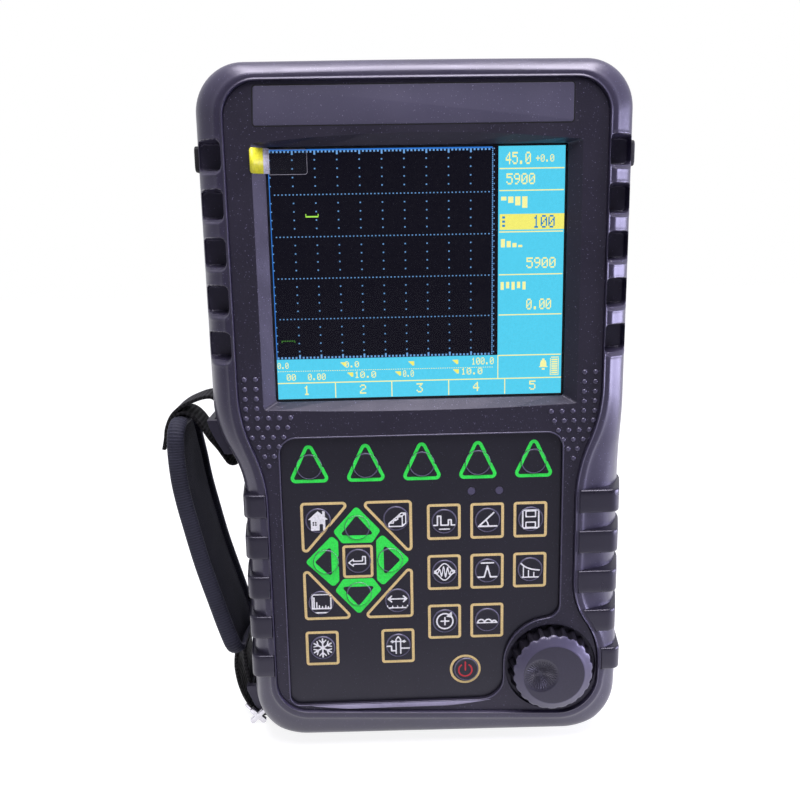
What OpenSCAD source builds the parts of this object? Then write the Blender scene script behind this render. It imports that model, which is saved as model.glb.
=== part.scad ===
/* [Case] */
// Width of the case over the bumper
body_w = 160; // [158:1:190]
// Height of the case, base to top
body_h = 267; // [264:1:300]
// Depth of the front half, parting face to face panel
front_d = 24.5; // [23:0.5:34]
// Depth of the rear half
rear_d = 31; // [30:0.5:45]
// Distance from the parting face to the middle of the resting face
split_back = 10; // [8:0.5:14]
// Width of the bumper beside the face, upper part
rim_w = 12.5; // [11:0.5:16]
// Height of the bumper crest above the face
crest_h = 3; // [1.5:0.5:5]
// How far the left side draws in below the waist
waist_in = 10.5; // [6:0.5:12]
// Height of the upper bend of the waist
waist_top = 135; // [132:1:142]
// Height of the lower bend of the waist
waist_low = 116; // [112:1:118]
// Radius of the top corners of the case
top_r = 18; // [12:1:24]
// Radius of the bottom corners of the case
base_r = 22; // [18:1:24]
// Wall of the rear shell
wall = 3; // [2.4:0.2:4]

/* [Grip] */
// Finger ribs on each side
rib_count = 5; // [3:1:5]
// Pitch of the finger ribs
rib_pitch = 16.35; // [14:0.05:17]
// Height of one finger rib
rib_h = 9.2; // [7:0.2:10]
// How far the ribs stand out of the side
rib_out = 0.5; // [0.3:0.1:1.5]
// Middle of the top rib above the base
rib_top = 104; // [100:1:106]
// Grip pockets on each side of the head
pocket_count = 5; // [3:1:5]
// Pitch of the grip pockets
pocket_pitch = 16.85; // [14:0.05:17]
// Height of one grip pocket
pocket_h = 9.8; // [7:0.2:12]
// Width of one grip pocket
pocket_w = 9.4; // [7:0.2:10]

/* [Display] */
// Width of the lit picture
view_w = 106.6; // [98:0.2:108]
// Bottom edge of the lit picture above the base
view_low = 145.3; // [144:0.1:150]
// Top edge of the lit picture below the top of the case
view_head = 31.3; // [30:0.1:40]
// Depth of the window behind the face
window_drop = 4.2; // [3:0.1:5]
// Thickness of the clear window
window_t = 1.2; // [0.8:0.1:2]
// Thickness of the display module
module_t = 6; // [4:0.5:7]
// Height of the name plate
plate_h = 12.6; // [8:0.2:13]
// Width of the name plate
plate_w = 112.6; // [80:0.2:116]

/* [Keypad] */
// Width of the keypad sheet
film_w = 106.4; // [104:0.2:110]
// Height of the top edge of the keypad sheet
film_top = 131.2; // [129:0.2:133]
// Height of the bottom edge of the keypad sheet
film_low = 22.3; // [21:0.2:24]
// Thickness of the keypad sheet
film_t = 0.6; // [0.4:0.1:1]
// Depth of the keypad sheet below the face
film_drop = 1.5; // [1:0.1:2]
// Radius of a key cap
key_r = 4.8; // [4.2:0.1:5]
// How far a key cap stands above the sheet
key_proud = 0.35; // [0.2:0.05:0.6]
// Travel of a key
key_travel = 0.5; // [0.3:0.05:0.6]
// Pitch of the keys under the display
soft_pitch = 21.3; // [20:0.1:22]
// Height of the keys under the display
soft_z = 119.9; // [118:0.1:121]
// Column pitch of the function keys
fn_pitch = 16.7; // [14:0.1:17]
// Row pitch of the function keys
fn_row = 20.6; // [18:0.1:21]
// Column of the first function keys
fn_x = 8.3; // [7:0.1:9]
// Height of the top row of function keys
fn_z = 96.9; // [96:0.1:98]
// Column of the arrow cross
cross_x = -25.1; // [-26:0.1:-24]
// Height of the arrow cross
cross_z = 81.8; // [81:0.1:83]

/* [Knob] */
// Column of the knob
knob_x = 50.2; // [49:0.1:51]
// Height of the knob
knob_z = 35.5; // [34.5:0.1:36.5]
// Outer radius of the knob skirt
knob_r = 17; // [14:0.1:17.2]
// Height of the knob above its seat
knob_h = 8.8; // [7:0.2:12]
// Scallops round the knob skirt
knob_teeth = 22; // [16:1:30]
// Radius of the encoder shaft
shaft_r = 3; // [2:0.1:4]

/* [Rear] */
// Width of the battery pack
pack_w = 72; // [60:1:74]
// Height of the battery pack
pack_h = 86; // [70:1:88]
// Width of the tilt stand
stand_w = 106; // [100:1:112]
// Length of the tilt stand, hinge to foot
stand_l = 118; // [100:1:122]
// Thickness of the tilt stand
stand_t = 5; // [4:0.2:6]
// Height of the stand hinge above the base
hinge_z = 152; // [148:1:156]
// Radius of the stand hinge pin
hinge_r = 1.5; // [1:0.1:2]

/* [Sockets] */
// Radius of a probe socket's mouth
jack_r = 4.6; // [4:0.1:5]
// Distance between the two probe sockets
jack_pitch = 24; // [18:1:26]
// Depth of the recess in the top
bay_d = 13; // [12:0.5:16]

/* [Strap] */
// Width of the hand strap pad
pad_w = 36; // [28:1:40]
// Thickness of the hand strap pad
pad_t = 6; // [4:0.5:7]
// Width of the strap webbing
web_w = 17; // [15:1:20]
// Thickness of the strap webbing
web_t = 1.6; // [1:0.1:2]

/* [Hidden] */

// Overrun of every cut
over = 1;
// Running gap between rigid pieces of one body
gap = 0.15;
// Gap round soft pieces
soft_gap = 0.3;
// Points on each bend of an outline
bend_n = 6;
$fn = 48;

// Depth of each layer, front to back, with the resting face round zero
split_y = -split_back;
face_y = split_y - front_d;
crest_y = face_y - crest_h;
back_y = split_y + rear_d;
window_y = face_y + window_drop;
glass_back_y = window_y + window_t;
module_y = glass_back_y + gap;
module_back_y = module_y + module_t;
film_y = face_y + film_drop;
film_back_y = film_y + film_t;
panel_back_y = window_y - gap;
seal_t = 0.6;
shell_y = split_y + seal_t;

// Picture, between the keys and the head of the case
view_h = body_h - view_head - view_low;
view_z = view_low + view_h / 2;

// Outline of the case seen from the front: corner, corner, length of the bend
half_w = body_w / 2;
waist_x = half_w - waist_in;
bend_share = 0.46;
waist_bend = bend_share * (waist_top - waist_low);
well_top = 62;
well_low = 47;
well_bend = 9;
side_bend = bend_share * (well_top - well_low);
case_pts = [
    [half_w, body_h, top_r], [-half_w, body_h, top_r],
    [-half_w, waist_top, waist_bend], [-waist_x, waist_low, waist_bend],
    [-waist_x, 0, base_r], [half_w, 0, base_r],
    [half_w, well_low, side_bend], [half_w, well_top, side_bend],
    [half_w, waist_low, waist_bend], [half_w, waist_top, waist_bend]];

// Outline of the bumper crest, with the bulge round the knob well
crest_w = half_w - rim_w;
crest_waist_share = 0.87;
crest_low_w = crest_w - crest_waist_share * waist_in;
crest_head = 9;
crest_top = body_h - crest_head;
crest_base = 20.5;
crest_sag = 5;
crest_lift = 4;
crest_drop = 0.5;
well_r = 18.4;
well_x = knob_x + well_r;
crest_r = 12;
crest_base_r = 16;
crest_bend = bend_share * (waist_top + crest_lift - waist_low + crest_drop);
crest_pts = [
    [crest_w, crest_top, crest_r], [-crest_w, crest_top, crest_r],
    [-crest_w, waist_top + crest_lift, crest_bend], [-crest_low_w, waist_low - crest_drop, crest_bend],
    [-crest_low_w, crest_base, crest_r], [well_x, crest_base - crest_sag, crest_base_r],
    [well_x, well_low, well_bend], [crest_low_w, well_top, well_bend],
    [crest_low_w, waist_low - crest_drop, crest_bend], [crest_w, waist_top + crest_lift, crest_bend]];

function unit(v) = v / norm(v);
function left_of(v) = [-v[1], v[0]];
function xz(p) = [p[0], p[1]];
function before(pts, i) = unit(xz(pts[i]) - xz(pts[(i + len(pts) - 1) % len(pts)]));
function after(pts, i) = unit(xz(pts[(i + 1) % len(pts)]) - xz(pts[i]));
function turn(u, v) = atan2(u[0] * v[1] - u[1] * v[0], u * v);

// Corners moved inward by d, with their bends kept parallel
function inset(pts, d) = [for (i = [0 : len(pts) - 1])
    let (u = before(pts, i), v = after(pts, i), n = left_of(u), m = left_of(v),
         q = xz(pts[i]) + d * (n + m) / (1 + n * m))
    [q[0], q[1], pts[i][2] - d * tan(turn(u, v) / 2)]];

// Points of an outline whose corners are exact arcs
function rounded(pts, n = bend_n) = [for (i = [0 : len(pts) - 1], k = [0 : n])
    let (u = before(pts, i), v = after(pts, i), c = xz(pts[i]), w = cos(turn(u, v) / 2),
         a = c - pts[i][2] * u, b = c + pts[i][2] * v, t = k / n,
         wa = (1 - t) * (1 - t), wc = 2 * t * (1 - t) * w, wb = t * t)
    (wa * a + wc * c + wb * b) / (wa + wc + wb)];

function level(outline, y) = [for (p = outline) [p[0], y, p[1]]];

// Closed solid through rings of points, front ring first
module loft(rings) {
    n = len(rings[0]);
    m = len(rings);
    polyhedron([for (r = rings, p = r) p], concat(
        [[for (i = [n - 1 : -1 : 0]) i]],
        [for (j = [0 : m - 2], i = [0 : n - 1])
            let (k = (i + 1) % n) [j * n + i, j * n + k, (j + 1) * n + k]],
        [for (j = [0 : m - 2], i = [0 : n - 1])
            let (k = (i + 1) % n) [j * n + i, (j + 1) * n + k, (j + 1) * n + i]],
        [[for (i = [0 : n - 1]) (m - 1) * n + i]]));
}

// Closed ring through a closed loop of rings of points
module ring_loft(rings) {
    n = len(rings[0]);
    m = len(rings);
    polyhedron([for (r = rings, p = r) p], concat(
        [for (j = [0 : m - 1], i = [0 : n - 1])
            let (k = (i + 1) % n, q = (j + 1) % m) [j * n + i, j * n + k, q * n + k]],
        [for (j = [0 : m - 1], i = [0 : n - 1])
            let (k = (i + 1) % n, q = (j + 1) % m) [j * n + i, q * n + k, q * n + i]]));
}

// Flat shape seen from the front, given depth from y0 back to y1
module slab(y0, y1) {
    translate([0, y1, 0]) rotate([90, 0, 0]) linear_extrude(y1 - y0) children();
}

// Box between two corners
module span(a, b) {
    translate(a) cube(b - a);
}

// Round bar along the depth from y0 back to y1
module bar_y(x, z, r, y0, y1) {
    translate([x, y1, z]) rotate([90, 0, 0]) cylinder(r = r, h = y1 - y0);
}

module round_rect(w, h, r) {
    polygon(rounded([[w / 2, h / 2, r], [-w / 2, h / 2, r], [-w / 2, -h / 2, r], [w / 2, -h / 2, r]], 3));
}

// The right side is straight, so the solids need only its first corners
side_pts = [for (i = [0 : 5]) case_pts[i]];

module case_2d(d = 0) {
    polygon(rounded(inset(side_pts, d)));
}

module crest_2d(d = 0) {
    polygon(rounded(inset(crest_pts, d)));
}

// Bumper ring: crest profile as shares of the lip width, of the flank and of the side drop
lip_w = 4.2;
side_drop = 16.5;
bumper_shares = [
    [0, 0, 0.12], [0.12, 0, 0.04], [0.36, 0, 0], [0.67, 0, 0.05], [1, 0, 0.15], [1, 0.25, 0.24],
    [1, 0.5, 0.36], [1, 0.68, 0.56], [1, 0.82, 0.83], [1, 0.92, 1.08], [1, 1, 1.45]];
pocket_in = 6.5;
pocket_head = 33.3;
pocket_depth = 13.5;
pocket_x = half_w - pocket_in;
pocket_top = body_h - pocket_head;
pocket_y = crest_y + pocket_depth;
pocket_r = 1.6;
rib_edge_r = 3;
rib_inner_r = 0.4;
rib_seat_share = 0.6;
rib_end = 1.2;
rib_rise = 1.3;
rib_lean_share = 0.3;
rib_side_d = 7;
left_rib_up = 1.4;

function bumper_ring(row) = let (r = rounded(crest_pts), o = rounded(case_pts))
    [for (i = [0 : len(r) - 1]) let (v = o[i] - r[i], lip = row[0] * lip_w,
        p = r[i] + unit(v) * (lip + (norm(v) - lip) * row[1]))
    [p[0], row[2], p[1]]];

module rib(side, z) {
    edge = (side > 0 ? half_w : waist_x) + rib_out;
    lean = rib_lean_share * (edge - crest_low_w - lip_w);
    up = side > 0 ? 0 : left_rib_up;
    y0 = face_y - rib_rise;
    y1 = split_y - rib_end;
    translate([0, 0, z + up - rib_h / 2]) linear_extrude(rib_h) scale([side, 1]) polygon(rounded([
        [crest_low_w, y0, rib_inner_r], [edge - lean, y0, rib_edge_r],
        [edge, split_y - rib_side_d, rib_edge_r], [edge, y1, rib_inner_r], [crest_low_w, y1, rib_inner_r]], 3));
}

module front_bumper() {
    color([0.27, 0.25, 0.37]) difference() {
        union() {
            ring_loft(concat(
                [for (s = bumper_shares) bumper_ring([s[0], s[1], crest_y + s[2] * side_drop])],
                [bumper_ring([1, 1, split_y]), bumper_ring([0, 0, split_y])]));
            difference() {
                for (side = [-1, 1], i = [0 : rib_count - 1]) rib(side, rib_top - i * rib_pitch);
                slab(crest_y - over, split_y + over) crest_2d(-lip_w * rib_seat_share);
            }
        }
        for (side = [-1, 1], i = [0 : pocket_count - 1])
            slab(crest_y - over, pocket_y) translate([side * pocket_x, pocket_top - i * pocket_pitch])
                round_rect(pocket_w, pocket_h, pocket_r);
    }
}

// Sloping frame round the picture
bezel_w = 58.4;
bezel_rise = 1.6;
bezel_fall = 3;
bezel_top = view_h / 2 + bezel_rise;
bezel_low = view_h / 2 + bezel_fall;
bezel_arch = 2.8;
bezel_sag = 1.2;
bezel_corner = 1;
sight = 0.7;
arch_share = 0.9;

function frame_pts(w, top, low, arch, sag, corner) = [
    [w, top, corner], [0, top + 2 * arch, w * arch_share], [-w, top, corner],
    [-w, -low, corner], [0, -low - 2 * sag, w * arch_share], [w, -low, corner]];

function lift(outline, y, z) = [for (p = outline) [p[0], y, p[1] + z]];

module bezel_cut() {
    outer = rounded(frame_pts(bezel_w, bezel_top, bezel_low, bezel_arch, bezel_sag, bezel_corner));
    inner_z = view_h / 2 + sight;
    inner = rounded(frame_pts(view_w / 2 + sight, inner_z, inner_z, 0, 0, bezel_corner));
    loft([lift(outer, face_y - over, view_z), lift(outer, face_y, view_z),
        lift(inner, panel_back_y, view_z), lift(inner, panel_back_y + over, view_z)]);
}

// Keypad sheet outline, with its corner cut back round the knob well
film_half = film_w / 2;
film_r = 6;
film_low_r = 4;
film_well_x = 31.2;
film_well_z = 54;
film_step_z = 57;
film_step_r = 5;
film_well_bend = 16.5;
film_foot_r = 9;
film_pts = [
    [film_half, film_top, film_r], [-film_half, film_top, film_r], [-film_half, film_low, film_low_r],
    [film_well_x, film_low, film_foot_r], [film_well_x, film_well_z, film_well_bend],
    [film_half, film_step_z, film_step_r]];

module film_2d(d = 0) {
    polygon(rounded(inset(film_pts, d)));
}

// Name, column and height of every key
corner_dx = 14.9;
corner_dz = 16.8;
arrow_dx = 12.4;
arrow_dz = 13.6;
low_row_z = 46;
power_x = 16.7;
power_z = 34.8;
key_places = concat(
    [for (i = [-2 : 2]) [i * soft_pitch, soft_z]],
    [[cross_x - corner_dx, cross_z + corner_dz], [cross_x + corner_dx, cross_z + corner_dz],
     [cross_x - corner_dx, cross_z - corner_dz], [cross_x + corner_dx, cross_z - corner_dz],
     [cross_x, cross_z + arrow_dz], [cross_x, cross_z - arrow_dz],
     [cross_x - arrow_dx, cross_z], [cross_x + arrow_dx, cross_z], [cross_x, cross_z]],
    [for (i = [0 : 7]) [fn_x + (i % 3) * fn_pitch, fn_z - floor(i / 3) * fn_row]],
    [[cross_x - corner_dx, low_row_z], [cross_x + corner_dx, low_row_z], [power_x, power_z]]);
key_gap = 0.2;
key_round = 0.3;
flange_r = 5.8;
flange_t = 0.8;
plunger_r = 1.5;
plunger_t = 0.5;
key_back_y = panel_back_y + gap + flange_t;
lamp_x = 18.8;
lamp_pitch = 10.7;
lamp_z = 108.6;
lamp_r = 1.5;
lamp_flange_r = 2.2;

// Knob well, plate recess, dots and bosses of the face panel
well_depth = 1.9;
well_clear_r = 18;
bush_r = 3.5;
skirt_t = 2.4;
plate_head = 16.9;
plate_z = body_h - plate_head;
plate_t = 0.5;
plate_sink = 0.1;
dot_r = 0.85;
dot_sink = 0.3;
dot_in = 2.5;
dot_x = crest_w - dot_in;
dot_top = 154;
dot_pitch_x = 4.1;
dot_pitch_z = 3.67;
dot_counts = [2, 2, 2, 2, 5, 5, 4, 3, 2, 1];
dot_shift_shares = [0, 0, 0, 0, 0, 0.1, 0.45, 1, 1.5, 1.85];
dot_pitch_shares = [1, 1, 1, 1, 1, 0.9, 0.95, 0.92, 0.86, 1];
boss_r = 3.2;
boss_in = 6.3;
boss_head = 21;
boss_x = crest_w - boss_in;
boss_top_z = body_h - boss_head;
boss_mid_z = 160;
boss_low_z = 26;
boss_low_x = 52;
boss_well_x = 61.5;
screw_r = 1.4;
screw_hole_r = 1.5;
bosses = [[-boss_x, boss_top_z], [boss_x, boss_top_z], [-boss_x, boss_mid_z], [boss_x, boss_mid_z],
    [-boss_low_x, boss_low_z], [boss_well_x, boss_low_z]];
post_r = 2;
post_x = 46;
post_drop = 11.9;
post_z = soft_z - post_drop;
post_row_z = fn_z - 1.5 * fn_row;
posts = [[0, post_z], [-post_x, post_z], [post_x, post_z], [cross_x, low_row_z],
    [fn_x - fn_pitch / 2, post_row_z], [fn_x + 1.5 * fn_pitch, post_row_z]];
pcb_t = 1.6;
switch_t = 2.7;
switch_w = 6;
switch_gap = plunger_t + key_travel + gap;
key_board_y = key_back_y + switch_gap + switch_t;

module front_panel() {
    color([0.2, 0.19, 0.28]) difference() {
        union() {
            slab(face_y, panel_back_y) crest_2d(gap);
            slab(panel_back_y - over, split_y) difference() {
                crest_2d(gap);
                crest_2d(gap + skirt_t);
            }
            for (b = bosses) bar_y(b[0], b[1], boss_r, panel_back_y - over, split_y);
            for (p = posts) bar_y(p[0], p[1], post_r, panel_back_y - over, key_board_y - gap);
            for (side = [-1, 1], i = [0 : len(dot_counts) - 1], j = [0 : dot_counts[i] - 1])
                translate([side * (dot_x - (dot_shift_shares[i] + j * dot_pitch_shares[i]) * dot_pitch_x),
                    face_y + dot_sink, dot_top - i * dot_pitch_z]) sphere(dot_r, $fn = 24);
        }
        bezel_cut();
        slab(face_y - over, film_back_y) film_2d(-gap);
        bar_y(knob_x, knob_z, well_clear_r, face_y - over, face_y + well_depth);
        bar_y(knob_x, knob_z, bush_r + gap, face_y, panel_back_y + over);
        slab(face_y - over, face_y + plate_sink + plate_t) translate([0, plate_z])
            square([plate_w + 2 * gap, plate_h + 2 * gap], center = true);
        for (k = key_places) bar_y(k[0], k[1], key_r + key_gap, face_y, panel_back_y + over);
        for (i = [0, 1]) bar_y(lamp_x + i * lamp_pitch, lamp_z, lamp_r + gap, face_y, panel_back_y + over);
        for (b = bosses) bar_y(b[0], b[1], screw_hole_r, panel_back_y + gap, split_y + over);
    }
}

module name_plate() {
    color([0.34, 0.32, 0.44]) slab(face_y + plate_sink, face_y + plate_sink + plate_t)
        translate([0, plate_z]) square([plate_w, plate_h], center = true);
}

module keypad_sheet() {
    color([0.17, 0.16, 0.22]) difference() {
        slab(film_y, film_back_y) film_2d();
        for (k = key_places) bar_y(k[0], k[1], key_r + key_gap, film_y - over, film_back_y + over);
        for (i = [0, 1])
            bar_y(lamp_x + i * lamp_pitch, lamp_z, lamp_r + gap, film_y - over, film_back_y + over);
    }
}

module indicator_lenses() {
    color([0.36, 0.34, 0.47]) for (i = [0, 1]) {
        bar_y(lamp_x + i * lamp_pitch, lamp_z, lamp_r, film_y, panel_back_y + gap + over);
        bar_y(lamp_x + i * lamp_pitch, lamp_z, lamp_flange_r, panel_back_y + gap, key_board_y - gap);
    }
}

// One key: cap, flange behind the panel and plunger, turned about its own axis
module key(i) {
    cap = key_back_y - flange_t - film_y + key_proud;
    color([0.2, 0.19, 0.26]) translate([key_places[i][0], key_back_y, key_places[i][1]])
        rotate([90, 0, 0]) rotate_extrude() polygon([
            [0, -plunger_t], [plunger_r, -plunger_t], [plunger_r, 0], [flange_r, 0], [flange_r, flange_t],
            [key_r, flange_t], [key_r, flange_t + cap - key_round],
            [key_r - key_round, flange_t + cap], [0, flange_t + cap]]);
}

key_board_half = 48.5;
key_board_low = 31;
key_board_lip = 2;
key_board_top = film_top - key_board_lip;
encoder_clear = 15;

module keypad_board() {
    color([0.1, 0.4, 0.2]) difference() {
        union() {
            span([-key_board_half, key_board_y, key_board_low],
                [key_board_half, key_board_y + pcb_t, key_board_top]);
            for (k = key_places) span([k[0] - switch_w / 2, key_board_y - switch_t, k[1] - switch_w / 2],
                [k[0] + switch_w / 2, key_board_y + over / 2, k[1] + switch_w / 2]);
        }
        span([knob_x - encoder_clear, key_board_y - over, 0],
            [body_w, key_board_y + pcb_t + over, knob_z + encoder_clear]);
    }
}

// Display stack
window_margin = 3;
module_margin = 3.4;
window_w = view_w + 2 * window_margin;
window_h = view_h + 2 * window_margin;
module_w = view_w + 2 * module_margin;
module_h = view_h + 2 * module_margin;
bracket_t = 1.2;
bracket_rim = 5;
bracket_y = module_back_y + gap;
board_back = 5.5;
board_y = bracket_y + bracket_t + board_back;
board_half = 54;
board_low = 66;
board_head = 29;
board_top = body_h - board_head;
stand_off_r = 2.5;
tab_w = 13.5;
tab_h = 9;
tab_t = 0.25;

module display_window() {
    color([0.05, 0.05, 0.08, 0.4]) slab(window_y, glass_back_y) translate([0, view_z])
        round_rect(window_w, window_h, window_margin);
}

module window_film() {
    color([0.9, 0.9, 0.4]) translate([-view_w / 2 + sight, window_y - tab_t, view_z + view_h / 2 - tab_h])
        cube([tab_w, tab_t, tab_h]);
}

module display_panel() {
    color([0.2, 0.65, 0.85]) slab(module_y, module_back_y) translate([0, view_z])
        square([module_w, module_h], center = true);
}

module display_bracket() {
    color([0.7, 0.7, 0.72]) {
        slab(bracket_y, bracket_y + bracket_t) translate([0, view_z]) difference() {
            square([module_w, module_h], center = true);
            square([module_w - 4 * bracket_rim, module_h - 4 * bracket_rim], center = true);
        }
        for (sx = [-1, 1], sz = [-1, 1])
            bar_y(sx * (module_w / 2 - bracket_rim), view_z + sz * (module_h / 2 - bracket_rim),
                stand_off_r, bracket_y, board_y - gap);
    }
}

chip_t = 2;
chip_w = 26;

module main_board() {
    color([0.1, 0.38, 0.22]) {
        span([-board_half, board_y, board_low], [board_half, board_y + pcb_t, board_top]);
        for (i = [-1, 1]) translate([i * chip_w, board_y + pcb_t / 2, view_z])
            cube([chip_w, chip_t + pcb_t / 2, chip_w]);
    }
}

// Knob, turned on the depth axis, with a scalloped skirt and a finger dimple
well_y = face_y + well_depth;
knob_seat_y = well_y - gap;
skirt_share = 0.75;
skirt_top_r = 15.7;
disc_r = 12.1;
scallop_r = 1.6;
scallop_in = 0.3;
dimple_x = 5;
dimple_r = 14;
dimple_depth = 1.8;
shaft_len = 6;
nut_r = 5;
nut_t = 1.4;
encoder_w = 12;
encoder_t = 6.5;
encoder_back_y = panel_back_y + gap + encoder_t;

module knob() {
    color([0.2, 0.19, 0.26]) translate([knob_x, knob_seat_y, knob_z]) rotate([90, 0, 0]) difference() {
        rotate_extrude($fn = 96) polygon([
            [shaft_r + gap / 3, 0], [knob_r, 0], [skirt_top_r, knob_h * skirt_share],
            [disc_r, knob_h], [0, knob_h], [0, shaft_len + gap], [shaft_r + gap / 3, shaft_len + gap]]);
        for (i = [0 : knob_teeth - 1])
            rotate(i * 360 / knob_teeth) translate([knob_r - scallop_in, 0, -over])
                cylinder(r = scallop_r, h = knob_h + 2 * over, $fn = 20);
        translate([-dimple_x, 0, knob_h + dimple_r - dimple_depth]) sphere(dimple_r, $fn = 64);
        translate([0, 0, -over]) cylinder(r = nut_r + 2 * gap, h = nut_t + over);
    }
}

module encoder() {
    color([0.6, 0.6, 0.62]) difference() {
        union() {
            span([knob_x - encoder_w / 2, panel_back_y + gap, knob_z - encoder_w / 2],
                [knob_x + encoder_w / 2, encoder_back_y, knob_z + encoder_w / 2]);
            bar_y(knob_x, knob_z, bush_r, well_y - nut_t, panel_back_y + gap + over);
            bar_y(knob_x, knob_z, nut_r, well_y - nut_t, well_y);
        }
        bar_y(knob_x, knob_z, shaft_r + gap, well_y - nut_t - over, encoder_back_y - over);
    }
}

module encoder_shaft() {
    color([0.75, 0.75, 0.76])
        bar_y(knob_x, knob_z, shaft_r, knob_seat_y - shaft_len, encoder_back_y - over - gap);
}

// Rear shell, with rounded back edges
back_round = 12;
back_in = 9;
back_steps = 4;
cavity_d = 6;
column_r = 5;
bay_wall = 2.4;
pack_gap = 0.5;
pack_foam = 1.65;
pack_z = 95;
door_margin = 3;
door_t = 2.2;
band_y = back_y - back_round;
pack_y = shell_y + cavity_d + bay_wall;
pack_t = back_y - door_t - pack_y - gap - pack_foam;
head_r = 2.8;
head_sink = 8;
groove_gap = 0.5;
leg_w = 10;
stand_y = back_y - stand_t - groove_gap;
hinge_y = stand_y + stand_t / 2;
bay_w = 62;
bay_x = -26;
bay_wall_y = 4;
bay_front_y = shell_y + bay_wall_y;
bay_depth_y = 18;
port_x = 34;
port_w = 36;
lid_t = 2.4;
upper_half = 50;
upper_lift = 12;
upper_low = hinge_z + upper_lift;
upper_top = body_h - bay_d - 2 * wall;
back_wall = 5;

module rear_outer() {
    slab(shell_y, band_y) case_2d();
    loft([for (k = [0 : back_steps]) let (a = 90 * k / back_steps)
        level(rounded(inset(side_pts, back_in * (1 - cos(a)))), band_y + back_round * sin(a))]);
}

// The stand seen from behind: two legs down from the hinge and a foot bar
module stand_2d(d, top) {
    difference() {
        translate([-stand_w / 2 - d, hinge_z - stand_l - d]) square([stand_w + 2 * d, stand_l + top + d]);
        translate([-stand_w / 2 + leg_w + d, hinge_z - stand_l + leg_w + d])
            square([stand_w - 2 * leg_w - 2 * d, stand_l + top + over]);
    }
}

// Pair of bars on the stand hinge axis, from inner to outer on each side
module hinge_bars(r, inner, outer) {
    for (s = [-1, 1]) translate([s * (inner + outer) / 2 - (outer - inner) / 2, hinge_y, hinge_z])
        rotate([0, 90, 0]) cylinder(r = r, h = outer - inner);
}

// Recess in the top of the case
module top_bay(x, w) {
    span([x - w / 2, bay_front_y, bay_floor], [x + w / 2, bay_back_y, body_h + over]);
}

module rear_shell() {
    color([0.24, 0.22, 0.32]) difference() {
        rear_outer();
        difference() {
            slab(shell_y - over, shell_y + cavity_d) case_2d(2 * wall);
            for (b = bosses) bar_y(b[0], b[1], column_r, shell_y - over, shell_y + cavity_d + over);
        }
        span([-pack_w / 2 - pack_gap, pack_y, pack_z - pack_h / 2 - pack_gap],
            [pack_w / 2 + pack_gap, back_y + over, pack_z + pack_h / 2 + pack_gap]);
        span([-pack_w / 2 - door_margin - gap, back_y - door_t, pack_z - pack_h / 2 - door_margin - gap],
            [pack_w / 2 + door_margin + gap, back_y + over, pack_z + pack_h / 2 + door_margin + gap]);
        slab(stand_y - groove_gap, back_y + over) stand_2d(groove_gap, stand_t / 2 + groove_gap);
        hinge_bars(hinge_r + gap, stand_w / 2 - over, stand_w / 2 + pin_out + gap);
        span([-upper_half, shell_y + cavity_d - over, upper_low], [upper_half, back_y - back_wall, upper_top]);
        top_bay(bay_x, bay_w);
        top_bay(port_x, port_w);
        for (i = [-1, 1]) translate([bay_x + i * jack_pitch / 2, bay_mid_y, upper_top - over])
            cylinder(r = tail_r + gap, h = bay_floor - upper_top + 2 * over);
        translate([port_x - port_w / 2 - lid_pin_out - gap, lid_y, lid_z]) rotate([0, 90, 0])
            cylinder(r = lid_pin_r + gap, h = port_w + 2 * (lid_pin_out + gap));
        for (b = bosses) {
            bar_y(b[0], b[1], screw_hole_r, shell_y - over, back_y + over);
            bar_y(b[0], b[1], head_r + gap, back_y - head_sink, back_y + over);
        }
        for (s = [-1, 1])
            bar_y(s * door_screw_x, door_screw_z, door_screw_r + gap, back_y - door_screw_l - gap, back_y);
        for (s = plug_places) translate([s[0] * (half_w - plug_l), plug_y, s[1]]) rotate([0, s[0] * 90, 0])
            cylinder(r = plug_r + gap, h = plug_l + over);
        for (f = foot_places) bar_y(f[0], f[1], foot_r + gap, back_y - foot_sink, back_y + over);
    }
}

pin_out = 3;
tail_r = 4;
door_screw_x = 30;
door_screw_drop = 1.2;
door_screw_z = pack_z - pack_h / 2 - door_screw_drop;
door_screw_r = 1;
door_screw_l = 7;
plug_r = 2;
plug_l = 5;
plug_y = -1;
plug_h = 8.6;
plug_w = 6;
plug_t = 1.6;
plug_head = 31.5;
plug_top_z = body_h - plug_head;
plug_low_z = 24.5;
plug_places = [[-1, plug_top_z], [1, plug_top_z], [1, plug_low_z]];
foot_top_x = 57;
foot_head = 42;
foot_low_x = 38;
foot_low_z = 20;
foot_top_z = body_h - foot_head;
foot_places = [[-foot_top_x, foot_top_z], [foot_top_x, foot_top_z],
    [-foot_low_x, foot_low_z], [foot_low_x, foot_low_z]];
foot_r = 5;
foot_sink = 1.5;
foot_t = 2.5;

module case_seal() {
    color([0.1, 0.1, 0.1]) slab(split_y, shell_y) difference() {
        case_2d(wall / 3);
        case_2d(2 * wall);
        for (b = bosses) translate(b) circle(column_r);
    }
}

module battery_pack() {
    color([0.15, 0.2, 0.45]) translate([0, pack_y + gap, pack_z]) rotate([-90, 0, 0]) linear_extrude(pack_t)
        round_rect(pack_w, pack_h, wall);
}

module battery_door() {
    x = pack_w / 2 + door_margin;
    z = pack_h / 2 + door_margin;
    color([0.24, 0.22, 0.32]) difference() {
        slab(back_y - door_t + gap / 2, back_y) translate([0, pack_z]) square([2 * x, 2 * z], center = true);
        for (i = [0 : door_grooves - 1]) slab(back_y - door_groove_w / 2, back_y + over)
            translate([0, pack_z + z - door_groove_drop - i * door_groove_pitch])
                square([x, door_groove_w], center = true);
        for (s = [-1, 1])
            bar_y(s * door_screw_x, door_screw_z, door_screw_r + gap, back_y - door_t - over, back_y + over);
    }
}

door_grooves = 6;
door_groove_drop = 10;
door_groove_pitch = 4;
door_groove_w = 1.6;

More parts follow.
